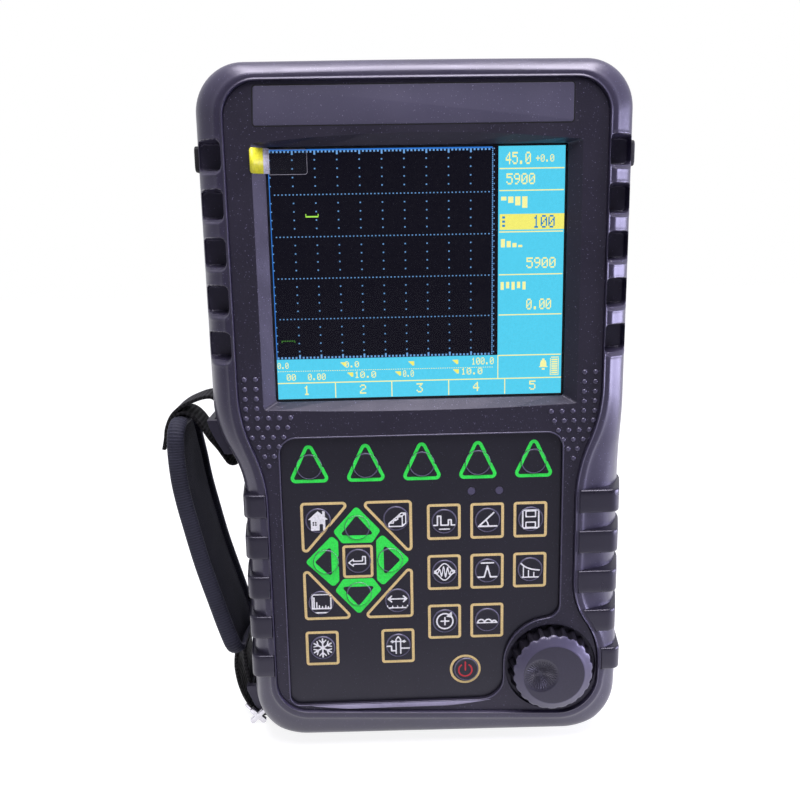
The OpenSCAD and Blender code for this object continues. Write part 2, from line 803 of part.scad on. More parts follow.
module door_screws() {
    color([0.55, 0.55, 0.57]) for (s = [-1, 1]) {
        bar_y(s * door_screw_x, door_screw_z, door_screw_r, back_y - door_screw_l, back_y);
        bar_y(s * door_screw_x, door_screw_z, door_screw_r + door_screw_head, back_y, back_y + door_screw_head);
    }
}

door_screw_head = 0.8;

module tilt_stand() {
    color([0.2, 0.19, 0.27]) difference() {
        union() {
            slab(stand_y, stand_y + stand_t) stand_2d(0, 0);
            for (s = [-1, 1]) translate([s * (stand_w - leg_w) / 2 - leg_w / 2, hinge_y, hinge_z])
                rotate([0, 90, 0]) cylinder(r = stand_t / 2, h = leg_w);
        }
        hinge_bars(hinge_r + gap, stand_w / 2 - leg_w - over, stand_w / 2 + over);
        for (i = [0 : foot_ribs - 1]) slab(stand_y + stand_t - door_groove_w / 2, back_y + over)
            translate([0, hinge_z - stand_l + door_groove_w * (1 + 2 * i)])
                square([stand_w / 2, door_groove_w / 2], center = true);
    }
}

foot_ribs = 3;

module stand_pins() {
    color([0.7, 0.7, 0.72]) hinge_bars(hinge_r, stand_w / 2 - leg_w, stand_w / 2 + pin_out);
}

module rear_feet() {
    color([0.1, 0.1, 0.11]) for (f = foot_places)
        translate([f[0], back_y - foot_sink, f[1]]) rotate([-90, 0, 0]) rotate_extrude() polygon([
            [0, 0], [foot_r, 0], [foot_r, foot_sink], [foot_r - foot_round, foot_t], [0, foot_t]]);
}

foot_round = 0.8;

module case_screws() {
    y0 = split_y - front_d / 2;
    color([0.55, 0.55, 0.57]) for (b = bosses) difference() {
        union() {
            bar_y(b[0], b[1], screw_r, y0, back_y - head_sink + over);
            bar_y(b[0], b[1], head_r, back_y - head_sink, back_y - head_sink + head_r);
        }
        bar_y(b[0], b[1], screw_r, back_y - head_sink + head_r / 2, back_y);
    }
}

// Probe sockets in the recess of the top: tail through the floor, nut, barrel, mouth and contact hole
jack_flange_r = 7.5;
jack_flange_t = 2;
jack_h = 9.6;
jack_wall = 1.4;
jack_mouth_d = 8;
jack_pin_r = 0.7;
jack_pin_d = 2;
jack_tail = 4;
bay_mid_y = bay_front_y + bay_depth_y / 2;
bay_back_y = bay_front_y + bay_depth_y;
bay_floor = body_h - bay_d;

module probe_sockets() {
    mouth_z = jack_flange_t + jack_h - jack_mouth_d;
    color([0.75, 0.74, 0.7]) for (i = [-1, 1]) translate([bay_x + i * jack_pitch / 2, bay_mid_y, bay_floor])
        difference() {
            union() {
                translate([0, 0, -jack_tail]) cylinder(r = tail_r, h = jack_tail + over);
                cylinder(r = jack_flange_r, h = jack_flange_t);
                cylinder(r = jack_r + jack_wall, h = jack_flange_t + jack_h);
            }
            translate([0, 0, mouth_z]) cylinder(r = jack_r, h = jack_h);
            translate([0, 0, mouth_z - jack_pin_d]) cylinder(r = jack_pin_r, h = jack_h);
        }
}

// Charging and data sockets under a hinged lid beside the probe sockets
port_rim = 4;
port_h = 7;
dc_r = 2.8;
slot_w = 12;
slot_t = 4.6;
port_hole_d = 5;
port_spread = 7;
lid_drop = 0.6;
lid_gap = 0.3;
lid_pin_r = 0.8;
lid_pin_out = 1.5;
lid_y = bay_back_y - lid_gap - lid_t / 2;
lid_z = body_h - lid_drop - lid_t / 2;

module port_block() {
    hole_z = bay_floor + port_h - port_hole_d;
    color([0.12, 0.12, 0.14]) difference() {
        span([port_x - port_w / 2 + gap, bay_front_y + port_rim, bay_floor],
            [port_x + port_w / 2 - gap, bay_back_y - port_rim, bay_floor + port_h]);
        translate([port_x - port_spread, bay_mid_y, hole_z]) cylinder(r = dc_r, h = port_h);
        translate([port_x + port_spread - slot_w / 2, bay_mid_y - slot_t / 2, hole_z])
            cube([slot_w, slot_t, port_h]);
    }
}

module port_cover() {
    color([0.16, 0.15, 0.2]) union() {
        span([port_x - port_w / 2 + lid_gap, bay_front_y + lid_gap, lid_z - lid_t / 2],
            [port_x + port_w / 2 - lid_gap, lid_y, lid_z + lid_t / 2]);
        translate([port_x - port_w / 2 + lid_gap, lid_y, lid_z]) rotate([0, 90, 0])
            cylinder(r = lid_t / 2, h = port_w - 2 * lid_gap);
        translate([port_x - port_w / 2 - lid_pin_out, lid_y, lid_z]) rotate([0, 90, 0])
            cylinder(r = lid_pin_r, h = port_w + 2 * lid_pin_out);
    }
}

sounder_r = 9;
sounder_t = 5;
sounder_x = 13;
sounder_head = 62;
sounder_z = body_h - sounder_head;
sounder_hole_r = 2;

module sounder() {
    y0 = board_y + pcb_t + gap;
    color([0.12, 0.12, 0.13]) difference() {
        bar_y(sounder_x, sounder_z, sounder_r, y0, y0 + sounder_t);
        bar_y(sounder_x, sounder_z, sounder_hole_r, y0 + sounder_t / 2, y0 + sounder_t + over);
    }
}

// Rubber plugs in the unused strap screw holes
module side_plugs() {
    color([0.08, 0.08, 0.09]) for (s = plug_places) {
        translate([s[0] * (half_w - plug_l + gap), plug_y, s[1]]) rotate([0, s[0] * 90, 0])
            cylinder(r = plug_r, h = plug_l);
        translate([s[0] * (half_w + gap + plug_t / 2), plug_y, s[1]])
            cube([plug_t, plug_w, plug_h], center = true);
    }
}

// Strap lugs: bars on two posts that follow the side of the case
lug_base = 0.65;
lug_slot = 2.6;
lug_bar = 2.5;
lug_post = 2.4;
lug_y = 1.8;
lug_len = web_w + 2 * soft_gap + 2 * lug_post;
upper_lug_lift = 3.5;
upper_lug_low = waist_low + upper_lug_lift;
upper_lug_h = 14;
lower_lug_low = 4;
lower_lug_h = 13;
lug_in = 26;

module lug(z, h) {
    color([0.17, 0.16, 0.22]) difference() {
        slab(lug_y - lug_len / 2, lug_y + lug_len / 2) intersection() {
            difference() {
                case_2d(-gap - lug_base - lug_slot - lug_bar);
                case_2d(-gap);
            }
            translate([-body_w, z]) square([body_w / 2 + lug_in, h]);
        }
        slab(lug_y - lug_len / 2 + lug_post, lug_y + lug_len / 2 - lug_post) difference() {
            case_2d(-gap - lug_base - lug_slot);
            case_2d(-gap - lug_base);
        }
    }
}

module upper_strap_lug() { lug(upper_lug_low, upper_lug_h); }

module lower_strap_lug() { lug(lower_lug_low, lower_lug_h); }

// Hand strap: routes as shares of its reach beside the case, seen from the front
reach = 16;
pad_head = 2;
pad_top = waist_top + pad_head;
pad_low = 33.6;
pad_route_shares = [[0.98, 1], [1.02, 0.89], [0.97, 0.773], [0.86, 0.68], [0.7, 0.584], [0.54, 0.41],
    [0.39, 0.242], [0.15, 0.12], [-0.2, 0]];
upper_web_shares = [[0.92, 0.3], [0.76, 0.48], [0.58, 0.26], [0.47, -0.02], [0.3, -0.35], [0.08, -0.76],
    [-0.07, -1.07], [-0.19, -1.25], [-0.34, -1.26], [-0.42, -1.14], [-0.33, -0.93], [-0.2, -0.68],
    [-0.02, -0.33], [0.075, -0.03], [0.17, 0.25], [0.2, 0.52], [0.36, 0.7], [0.62, 0.72], [0.92, 0.62]];
lower_web_shares = [[-0.12, 2.04], [-0.11, 1.7], [-0.14, 1.4], [-0.24, 1.0], [-0.38, 0.6], [-0.57, 0.27],
    [-0.72, 0.12], [-0.88, 0.155], [-0.985, 0.3], [-0.757, 0.58], [-0.6, 0.92], [-0.53, 1.3], [-0.44, 1.7],
    [-0.34, 2.04]];

function spline(p, n) = concat([for (i = [0 : len(p) - 2], k = [0 : n - 1])
    let (a = p[max(i - 1, 0)], b = p[i], c = p[i + 1], d = p[min(i + 2, len(p) - 1)], t = k / n)
    0.5 * (2 * b + (c - a) * t + (2 * a - 5 * b + 4 * c - d) * t * t + (3 * b - a - 3 * c + d) * t * t * t)],
    [p[len(p) - 1]]);

function side_of(p, i) = left_of(unit(p[min(i + 1, len(p) - 1)] - p[max(i - 1, 0)]));

module ribbon(path, t, w) {
    n = len(path);
    slab(lug_y - w / 2, lug_y + w / 2) polygon(concat(
        [for (i = [0 : n - 1]) path[i] + side_of(path, i) * t / 2],
        [for (i = [n - 1 : -1 : 0]) path[i] - side_of(path, i) * t / 2]));
}

module upper_webbing() {
    color([0.07, 0.07, 0.08]) ribbon(spline([for (s = upper_web_shares)
        [-half_w - s[0] * reach, waist_top + s[1] * reach]], 3), web_t, web_w);
}

module lower_webbing() {
    color([0.07, 0.07, 0.08]) ribbon(spline([for (s = lower_web_shares)
        [-half_w - s[0] * reach, s[1] * reach]], 3), web_t, web_w);
}

pad_edge_share = 0.45;
pad_sides = 16;

function pad_ring(c, n, w, t) = [for (k = [0 : pad_sides - 1]) let (a = 360 * k / pad_sides,
    u = sign(cos(a)) * pow(abs(cos(a)), pad_edge_share), v = sin(a))
    [c[0] + n[0] * v * t / 2, lug_y + u * w / 2, c[1] + n[1] * v * t / 2]];

module strap_pad() {
    path = spline([for (s = pad_route_shares)
        [-half_w - s[0] * reach, pad_low + s[1] * (pad_top - pad_low)]], 2);
    color([0.11, 0.11, 0.14]) loft([for (i = [0 : len(path) - 1])
        let (e = min(i, len(path) - 1 - i), f = min(1, pad_edge_share + e / 3))
        pad_ring(path[i], side_of(path, i), pad_w * f, pad_t * f)]);
}

// Metal clasp that pins the end of the lower webbing
clasp_l = 9;
clasp_w = 2.4;
clasp_t = 1.6;
clasp_in = 8;
clasp_x = -half_w + clasp_in;
clasp_z = 5.2;
clasp_arms = [45, -45];

module strap_clasp() {
    color([0.82, 0.82, 0.84]) translate([clasp_x, lug_y - lug_len / 2 - soft_gap - clasp_t, clasp_z])
        rotate([-90, 0, 0]) for (a = clasp_arms) rotate(a) translate([-clasp_l / 2, -clasp_w / 2, 0])
            cube([clasp_l, clasp_w, clasp_t]);
}

front_bumper();
front_panel();
rear_shell();
case_seal();
name_plate();
display_window();
window_film();
display_panel();
display_bracket();
keypad_sheet();
indicator_lenses();
keypad_board();
main_board();
key(0);  // soft_key_1
key(1);  // soft_key_2
key(2);  // soft_key_3
key(3);  // soft_key_4
key(4);  // soft_key_5
key(5);  // home_key
key(6);  // scale_key
key(7);  // graph_key
key(8);  // range_key
key(9);  // up_key
key(10);  // down_key
key(11);  // left_key
key(12);  // right_key
key(13);  // enter_key
key(14);  // delay_key
key(15);  // angle_key
key(16);  // save_key
key(17);  // envelope_key
key(18);  // peak_key
key(19);  // curve_key
key(20);  // gain_key
key(21);  // video_key
key(22);  // freeze_key
key(23);  // gate_key
key(24);  // power_key
knob();
encoder();
encoder_shaft();
battery_pack();
battery_door();
door_screws();
tilt_stand();
stand_pins();
rear_feet();
case_screws();
probe_sockets();
port_block();
port_cover();
sounder();
upper_strap_lug();
lower_strap_lug();
upper_webbing();
strap_pad();
lower_webbing();
strap_clasp();
side_plugs();
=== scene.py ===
"""Looks of the hand-held ultrasonic flaw detector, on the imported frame.

Lengths are in millimetres up to add_mesh. Outlines are corners of x, z and bend, anticlockwise.
"""

import math

import bpy
import numpy as np
from mathutils import Matrix, Vector


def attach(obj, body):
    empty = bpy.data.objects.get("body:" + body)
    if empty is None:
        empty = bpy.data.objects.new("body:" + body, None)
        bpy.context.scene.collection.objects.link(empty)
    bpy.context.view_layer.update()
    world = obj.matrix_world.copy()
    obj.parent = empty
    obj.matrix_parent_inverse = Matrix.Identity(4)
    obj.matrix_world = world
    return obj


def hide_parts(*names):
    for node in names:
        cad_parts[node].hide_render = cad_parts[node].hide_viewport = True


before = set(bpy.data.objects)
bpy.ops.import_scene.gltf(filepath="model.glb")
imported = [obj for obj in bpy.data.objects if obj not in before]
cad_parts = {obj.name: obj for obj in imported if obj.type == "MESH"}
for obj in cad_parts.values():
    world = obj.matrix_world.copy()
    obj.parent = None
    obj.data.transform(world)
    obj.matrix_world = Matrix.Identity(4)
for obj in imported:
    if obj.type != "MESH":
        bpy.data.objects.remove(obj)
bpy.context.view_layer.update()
MM = 0.001

# Depths that part.scad gives
CREST_Y = -37.5
FACE_Y = -34.5
FILM_Y = -33.0
GLASS_Y = -30.3
PICTURE_Y = -28.97


# Meshes

def dress(piece, *looks):
    """Give a piece its materials by name, in the order of its faces' material numbers."""
    piece.data.materials.clear()
    for look in looks:
        piece.data.materials.append(bpy.data.materials[look])


def add_mesh(name, points, faces, look, angle=None, uv=None, at=(0, 0, 0)):
    """A mesh object from points in millimetres, smooth up to an angle, with its origin at a place."""
    mesh = bpy.data.meshes.new(name)
    origin = np.array(at, float)
    mesh.from_pydata([tuple((np.array(p) - origin) * MM) for p in points], [], faces)
    mesh.update()
    if angle is not None:
        mesh.polygons.foreach_set("use_smooth", [True] * len(mesh.polygons))
        mesh.set_sharp_from_angle(angle=math.radians(angle))
    if uv is not None:
        layer = mesh.uv_layers.new(name="UVMap")
        for loop in mesh.loops:
            layer.data[loop.index].uv = uv[loop.vertex_index]
    piece = bpy.data.objects.new(name, mesh)
    piece.location = Vector(at) * MM
    dress(piece, look)
    bpy.context.scene.collection.objects.link(piece)
    return piece


def settle(piece, body, slot, *replaced):
    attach(piece, body)
    if replaced:
        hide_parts(*replaced)


def thicken(piece, thickness):
    thick = piece.modifiers.new("thick", "SOLIDIFY")
    thick.thickness = thickness * MM
    thick.offset = 0


def unit(v):
    return v / np.linalg.norm(v)


def corner_turns(corners, i):
    here = np.array(corners[i][:2], float)
    u = unit(here - np.array(corners[i - 1][:2], float))
    v = unit(np.array(corners[(i + 1) % len(corners)][:2], float) - here)
    return here, u, v


def inset(corners, d):
    """Corners moved inward by d, with their bends kept parallel."""
    out = []
    for i, c in enumerate(corners):
        here, u, v = corner_turns(corners, i)
        n, m = np.array((-u[1], u[0])), np.array((-v[1], v[0]))
        q = here + d * (n + m) / (1 + n @ m)
        turn = math.atan2(u[0] * v[1] - u[1] * v[0], u @ v)
        out.append((q[0], q[1], c[2] - d * math.tan(turn / 2)))
    return out


def bend_points(corners, i, n):
    here, u, v = corner_turns(corners, i)
    bend = corners[i][2]
    a, b = here - bend * u, here + bend * v
    w = math.cos(math.atan2(u[0] * v[1] - u[1] * v[0], u @ v) / 2)
    out = []
    for k in range(n + 1):
        t = k / n
        wa, wc, wb = (1 - t) ** 2, 2 * t * (1 - t) * w, t * t
        out.append((wa * a + wc * here + wb * b) / (wa + wc + wb))
    return out


def rounded(corners, n, steps=None):
    """Outline whose corners are arcs. steps gives how many parts each straight side is cut into."""
    out = []
    for i in range(len(corners)):
        bend = bend_points(corners, i, n)
        out += bend
        if steps:
            after = bend_points(corners, (i + 1) % len(corners), 1)[0]
            for k in range(1, steps[i]):
                out.append(bend[-1] + (after - bend[-1]) * k / steps[i])
    return np.array(out)


def box_corners(x, z, bend):
    """Corners of a box about its middle, from its half sizes."""
    return [(x, z, bend), (-x, z, bend), (-x, -z, bend), (x, -z, bend)]


def spline(points, n):
    """Points of a smooth curve through all the given ones."""
    p = [np.array(q, float) for q in points]
    out = []
    for i in range(len(p) - 1):
        a, b, c, d = p[max(i - 1, 0)], p[i], p[i + 1], p[min(i + 2, len(p) - 1)]
        for k in range(n):
            t = k / n
            out.append(0.5 * (2 * b + (c - a) * t + (2 * a - 5 * b + 4 * c - d) * t * t
                              + (3 * b - a - 3 * c + d) * t ** 3))
    return out + [p[-1]]


def lathe(rows, n, at=(0, 0, 0)):
    """Points of rows of radius and height, turned about an axis that looks out of the face."""
    turns = [2 * math.pi * k / n for k in range(n)]
    return [(at[0] + r * math.cos(a), at[1] - h, at[2] + r * math.sin(a)) for r, h in rows for a in turns]


def ring_faces(rows, n, closed_rows=False):
    """Quads between rows of n points that each close on themselves."""
    faces = []
    for j in range(rows if closed_rows else rows - 1):
        q = (j + 1) % rows
        for i in range(n):
            k = (i + 1) % n
            faces.append((j * n + i, j * n + k, q * n + k, q * n + i))
    return faces


def end_face(row, n):
    """The face across one row of n points."""
    return tuple(range(row * n, (row + 1) * n))


def moved_faces(faces, base):
    return [tuple(base + v for v in f) for f in faces]


def smooth(x, low, high):
    t = np.clip((x - low) / (high - low), 0, 1)
    return t * t * (3 - 2 * t)


# Distance fields of flat shapes, negative inside, at points given as an (n, 2) array

def box_field(p, centre, half, r=0.0):
    q = np.abs(p - centre) - (np.array(half) - r)
    return np.linalg.norm(np.maximum(q, 0), axis=1) + np.minimum(q.max(axis=1), 0) - r


def disc_field(p, centre, r):
    return np.linalg.norm(p - centre, axis=1) - r


def line_field(p, a, b, w):
    a, b = np.array(a, float), np.array(b, float)
    t = np.clip(((p - a) @ (b - a)) / ((b - a) @ (b - a)), 0, 1)
    return np.linalg.norm(p - a - t[:, None] * (b - a), axis=1) - w / 2


def path_field(p, w, points):
    return np.minimum.reduce([line_field(p, a, b, w) for a, b in zip(points, points[1:])])


def polygon_field(p, corners):
    c = np.array(corners, float)
    edge = np.full(len(p), np.inf)
    inside = np.zeros(len(p), bool)
    for a, b in zip(c, np.roll(c, -1, axis=0)):
        edge = np.minimum(edge, line_field(p, a, b, 0))
        crosses = (a[1] > p[:, 1]) != (b[1] > p[:, 1])
        with np.errstate(divide="ignore", invalid="ignore"):
            x = (b[0] - a[0]) * (p[:, 1] - a[1]) / (b[1] - a[1]) + a[0]
        inside ^= crosses & (p[:, 0] < x)
    return np.where(inside, -edge, edge)


def soft_polygon(p, corners, r):
    """Polygon with corners rounded by r."""
    pulled = [c[:2] for c in inset([(x, z, 0) for x, z in corners], r)]
    return polygon_field(p, pulled) - r


def outline_band(field, w):
    return np.maximum(field, -(field + w))


def fill_field(field, low, high, step):
    """Points and faces of the region where a field is negative."""
    nx, nz = (int(math.ceil((high[k] - low[k]) / step)) + 1 for k in (0, 1))
    xs, zs = low[0] + step * np.arange(nx), low[1] + step * np.arange(nz)
    grid = np.stack(np.meshgrid(xs, zs, indexing="ij"), -1)
    value = field(grid.reshape(-1, 2)).reshape(nx, nz)
    points, names, faces = [], {}, []

    def place(key, at):
        if key not in names:
            names[key] = len(points)
            points.append(at)
        return names[key]

    inside = value < 0
    some = inside[:-1, :-1] | inside[1:, :-1] | inside[:-1, 1:] | inside[1:, 1:]
    for i, j in zip(*np.nonzero(some)):
        loop = []
        ring = [(i, j), (i + 1, j), (i + 1, j + 1), (i, j + 1)]
        for a, b in zip(ring, ring[1:] + ring[:1]):
            if inside[a]:
                loop.append(place(a, grid[a]))
            if inside[a] != inside[b]:
                first, second = min(a, b), max(a, b)
                t = value[first] / (value[first] - value[second])
                loop.append(place((first, second), grid[first] + t * (grid[second] - grid[first])))
        if len(loop) > 2:
            faces.append(tuple(loop))
    return points, faces


# Shader nodes

class Nodes:
    """A node tree, with short calls for the nodes that it needs."""

    def __init__(self, tree):
        self.tree = tree

    def give(self, node, inputs):
        """Give a node's inputs, by name or in order, values or the outputs of other nodes."""
        for key, value in inputs.items() if isinstance(inputs, dict) else enumerate(inputs):
            if isinstance(value, bpy.types.Node):
                value = value.outputs[0]
            if isinstance(value, bpy.types.NodeSocket):
                self.tree.links.new(value, node.inputs[key])
            elif value is not None:
                node.inputs[key].default_value = value

    def make(self, kind, inputs=(), **settings):
        node = self.tree.nodes.new("ShaderNode" + kind)
        for name, value in settings.items():
            setattr(node, name, value)
        self.give(node, inputs)
        return node

    def math(self, operation, a, b=None):
        return self.make("Math", (a, b), operation=operation).outputs[0]

    def times(self, a, b):
        return self.math("MULTIPLY", a, b)

    def ramp(self, value, low, high, out_low=0.0, out_high=1.0):
        return self.make("MapRange", (value, low, high, out_low, out_high)).outputs["Result"]

    def parts(self, vector):
        return self.make("SeparateXYZ", (vector,)).outputs


def bare_nodes(block):
    """The emptied node tree of a world or material."""
    block.use_nodes = True
    block.node_tree.nodes.clear()
    return Nodes(block.node_tree)


class Look(Nodes):
    """A material with one main shader."""

    def __init__(self, name):
        self.mat = bpy.data.materials.new(name)
        self.mat.use_nodes = True
        super().__init__(self.mat.node_tree)
        self.where = self.make("TexCoord").outputs

    def noise(self, scale, detail=3.0, rough=0.6):
        inputs = {"Vector": self.where["Object"], "Scale": scale, "Detail": detail, "Roughness": rough}
        return self.make("TexNoise", inputs).outputs["Fac"]

    def mix(self, factor, a, b):
        """Mix two colours, which are the seventh and eighth input of this node."""
        return self.make("Mix", {0: factor, 6: a, 7: b}, data_type="RGBA").outputs[2]

    def edges(self, radius):
        """Rounded normal at edges, and a mask that is 1 on them."""
        bent = self.make("Bevel", {"Radius": radius * MM}, samples=6).outputs["Normal"]
        true = self.make("NewGeometry").outputs["Normal"]
        dot = self.make("VectorMath", (bent, true), operation="DOT_PRODUCT").outputs["Value"]
        return bent, self.ramp(dot, 0.995, 0.8)

    def bump(self, height, depth, normal=None):
        inputs = {"Height": height, "Distance": depth * MM, "Normal": normal}
        return self.make("Bump", inputs).outputs["Normal"]

    def finish(self, colour, roughness=None, normal=None, **others):
        inputs = {"Base Color": colour, "Roughness": roughness, "Normal": normal}
        inputs.update({name.replace("_", " "): value for name, value in others.items()})
        self.give(self.tree.nodes["Principled BSDF"], inputs)


# Camera, light and floor

CAMERA_AT = (-17.5, -343.4, 207.1)
CAMERA_TURN = (-11.348, 0.992, -1.982)
CAMERA_LENS = 38.25
# Lamps: place and aim in metres, size, power and colour
LAMPS = {
    "above_front": ((0.08, -0.42, 0.86), (0, -0.02, 0.12), (0.6, 0.36), 5.8, (1.0, 0.97, 1.0)),
    "above": ((0.06, -0.06, 0.86), (0.06, -0.05, 0), (0.7, 0.3), 7.2, (1.0, 0.96, 1.0)),
    "right": ((0.72, -0.1, 0.1), (0, -0.03, 0.13), (0.5, 0.4), 7.0, (0.74, 0.71, 1.0))}
WHITE = (1, 1, 1, 1)
TENT_COLOUR = (0.93, 0.93, 1.0, 1)
# From and to in Y, and the strength of the tent there, or how lit glossy rays see the floor there
TENT_DIMS = (-0.95, 0.1, 0.06, 0.7)
FLOOR_BEHIND = (-0.14, -0.04, 0.0, 1.0)
FLOOR_COLOUR = (0.32, 0.32, 0.335, 1)
FLOOR_GLOW = 0.86
FLOOR_HALF = 2500


def add_camera():
    ax, ay, az = (math.radians(v) for v in CAMERA_TURN)
    turn = Matrix.Rotation(az, 3, "Z") @ Matrix.Rotation(ay, 3, "Y") @ Matrix.Rotation(ax, 3, "X")
    right, ahead, up = turn @ Vector((1, 0, 0)), turn @ Vector((0, 1, 0)), turn @ Vector((0, 0, 1))
    data = bpy.data.cameras.new("camera")
    data.lens = CAMERA_LENS
    data.sensor_width = 36
    data.clip_start = 0.01
    camera = bpy.data.objects.new("camera", data)
    place = Matrix((right, up, -ahead)).transposed().to_4x4()
    place.translation = Vector(CAMERA_AT) * MM
    camera.matrix_world = place
    bpy.context.scene.collection.objects.link(camera)
    bpy.context.scene.camera = camera


def add_lamp(name, at, to, size, power, colour):
    data = bpy.data.lights.new(name, "AREA")
    data.shape = "RECTANGLE"
    data.size, data.size_y = size
    data.energy = power
    data.color = colour
    lamp = bpy.data.objects.new(name, data)
    lamp.location = Vector(at)
    lamp.rotation_euler = (Vector(to) - Vector(at)).to_track_quat("-Z", "Y").to_euler()
    bpy.context.scene.collection.objects.link(lamp)


def add_world():
    """White to camera and transmitted rays. To the others it is a white tent that is dim in front."""
    bpy.context.scene.world = bpy.data.worlds.new("studio")
    sky = bare_nodes(bpy.context.scene.world)
    path = sky.make("LightPath").outputs
    seen = sky.math("MAXIMUM", path["Is Camera Ray"], path["Is Transmission Ray"])
    white = sky.make("Background", {"Color": WHITE})
    where = sky.parts(sky.make("TexCoord").outputs["Generated"])
    tent = sky.make("Background", {"Color": TENT_COLOUR, "Strength": sky.ramp(where["Y"], *TENT_DIMS)})
    sky.make("OutputWorld", {"Surface": sky.make("MixShader", (seen, tent, white))})


def add_floor():
    """Dull floor that camera rays see lit, and glossy rays too where it lies behind the object."""
    mat = bpy.data.materials.new("floor_white")
    floor = bare_nodes(mat)
    path = floor.make("LightPath").outputs
    dull = floor.make("BsdfDiffuse", {"Color": FLOOR_COLOUR})
    glow = floor.make("Emission", {"Color": WHITE, "Strength": FLOOR_GLOW})
    where = floor.parts(floor.make("TexCoord").outputs["Object"])
    shine = floor.times(path["Is Glossy Ray"], floor.ramp(where["Y"], *FLOOR_BEHIND))
    seen = floor.math("MAXIMUM", path["Is Camera Ray"], shine)
    both = floor.make("AddShader", (dull, glow))
    floor.make("OutputMaterial", {"Surface": floor.make("MixShader", (seen, dull, both))})
    half = FLOOR_HALF
    corners = [(-half, -half, 0), (half, -half, 0), (half, half, 0), (-half, half, 0)]
    add_mesh("studio_floor", corners, [(0, 1, 2, 3)], "floor_white")


# Materials, with colours as sRGB values from 0 to 255

VIOLET = (0.86, 0.83, 1.0, 1)
SHINE, SATIN, SOFT = 0.8, 0.55, 0.4
# Two tones, roughness, scale and depth of the grain, radius of the edges, tone of edge wear and painted edge
# highlight, fleck tone, and gloss
PLASTICS = {
    "bumper_plastic": ((44, 41, 58), (53, 49, 69), 0.33, 1800, 0.012, 0.3, (84, 80, 106), (104, 100, 130),
                       SHINE),
    # Ribs: the bumper plastic made darker, painted shade for their front faces
    "rib_plastic": ((24, 22, 33), (30, 28, 40), 0.3, 1800, 0.012, 0.5, (84, 81, 106), None, SHINE),
    "face_plastic": ((29, 27, 38), (38, 35, 49), 0.44, 1500, 0.045, 0.35, (62, 59, 78), (104, 100, 128),
                     SATIN),
    "shell_plastic": ((44, 41, 57), (53, 49, 69), 0.5, 1600, 0.05, 0.5, (80, 76, 98), (96, 92, 116), SOFT),
    "plate_plastic": ((72, 70, 88), (80, 77, 97), 0.38, 2400, 0.02, 0.15, None, (130, 126, 150), SATIN),
    "keypad_film": ((20, 20, 26), (26, 26, 33), 0.34, 2600, 0.015, 0.12, (56, 54, 70), (56, 55, 70), SATIN),
    # Key rims: the keypad film in a lighter tone, a painted highlight
    "key_rim_film": ((84, 82, 104), (96, 93, 116), 0.24, 2600, 0.01, 0.1, None, None, SHINE),
    "lamp_lens": ((72, 69, 92), (84, 80, 104), 0.4, 900, 0.02, 0.3, None, None, SOFT),
    # Edge bead of the keypad recess: the face plastic lighter, a painted highlight
    "recess_edge": ((62, 59, 79), (74, 71, 92), 0.28, 1500, 0.01, 0.1, None, None, SHINE),
    # Slope below the keypad recess: the face plastic far lighter, a painted highlight
    "recess_slope": ((122, 118, 142), (150, 146, 170), 0.3, 1500, 0.01, 0.1, None, None, SHINE),
    # Raised dots: the face plastic lighter, a painted highlight
    "dot_plastic": ((62, 59, 78), (74, 71, 93), 0.2, 1500, 0.01, 0.1, None, None, SHINE),
    "stand_plastic": ((42, 40, 54), (50, 47, 64), 0.5, 1600, 0.05, 0.6, (78, 75, 95), None, SOFT),
    "lug_plastic": ((42, 40, 53), (52, 49, 65), 0.4, 1600, 0.03, 0.5, (80, 76, 98), None, SATIN),
    "port_plastic": ((20, 20, 23), (30, 30, 34), 0.45, 1600, 0.03, 0.2),
    "seal_rubber": ((22, 22, 24), (30, 30, 33), 0.7, 1400, 0.05, 0.5),
    "foot_rubber": ((24, 24, 26), (36, 36, 40), 0.7, 1400, 0.05, 0.5),
    "plug_rubber": ((22, 21, 25), (32, 31, 38), 0.6, 1400, 0.05, 0.5),
    "cover_rubber": ((34, 32, 42), (44, 42, 54), 0.62, 1400, 0.05, 0.5),
    "battery_sleeve": ((30, 38, 84), (38, 48, 100), 0.35, 900, 0.02, 0.4),
    "board_mask": ((14, 70, 40), (20, 86, 50), 0.35, 700, 0.03, 0.2),
    "sounder_plastic": ((22, 22, 24), (32, 32, 35), 0.5, 1500, 0.03, 0.3),
    "display_case": ((26, 26, 30), (34, 34, 40), 0.4, 2200, 0.03, 0.4),
    # Rounded edge of the knob: its plastic lighter, a painted highlight
    "knob_ring_plastic": ((66, 63, 83), (78, 74, 98), 0.32, 2200, 0.012, 0.35, (110, 106, 134), None, SHINE),
    "knob_side_plastic": ((17, 16, 22), (24, 22, 30), 0.4, 1600, 0.02, 0.3, None, None, SOFT)}
# Two tones, roughness, scale and depth of the grain
METALS = {
    "screw_steel": ((120, 120, 124), (176, 176, 182), 0.32, 900, 0.01),
    "plain_steel": ((150, 150, 155), (190, 190, 196), 0.35, 900, 0.01),
    "plated_brass": ((176, 174, 168), (214, 212, 206), 0.22, 900, 0.01),
    "clasp_steel": ((190, 188, 196), (240, 238, 244), 0.18, 500, 0.02)}
# Two tones, pitch of the ribs and of the threads, depth, and sheen
WEAVES = {
    "strap_webbing": ((8, 8, 10), (34, 33, 38), 1.7, 1.4, 0.35, 0.04),
    "strap_binding": ((34, 35, 47), (58, 58, 76), 1.1, 2.2, 0.14, 0.08)}
# Colour and roughness
# Besides prints and the yellow tab: the dark tone is a painted shadow round the name plate, and the fold and
# film edge tones are painted highlights.
PRINTS_AND_PAINTED_LIGHT = {
    "print_green": ((52, 250, 88), 0.45), "print_gold": ((238, 210, 146), 0.45),
    "print_white": ((248, 248, 252), 0.45), "print_red": ((206, 44, 60), 0.45),
    "print_dark": ((16, 15, 21), 0.45), "tab_yellow": ((246, 240, 60), 0.35),
    "tab_fold": ((214, 212, 226), 0.25), "film_edge": ((150, 148, 160), 0.3)}
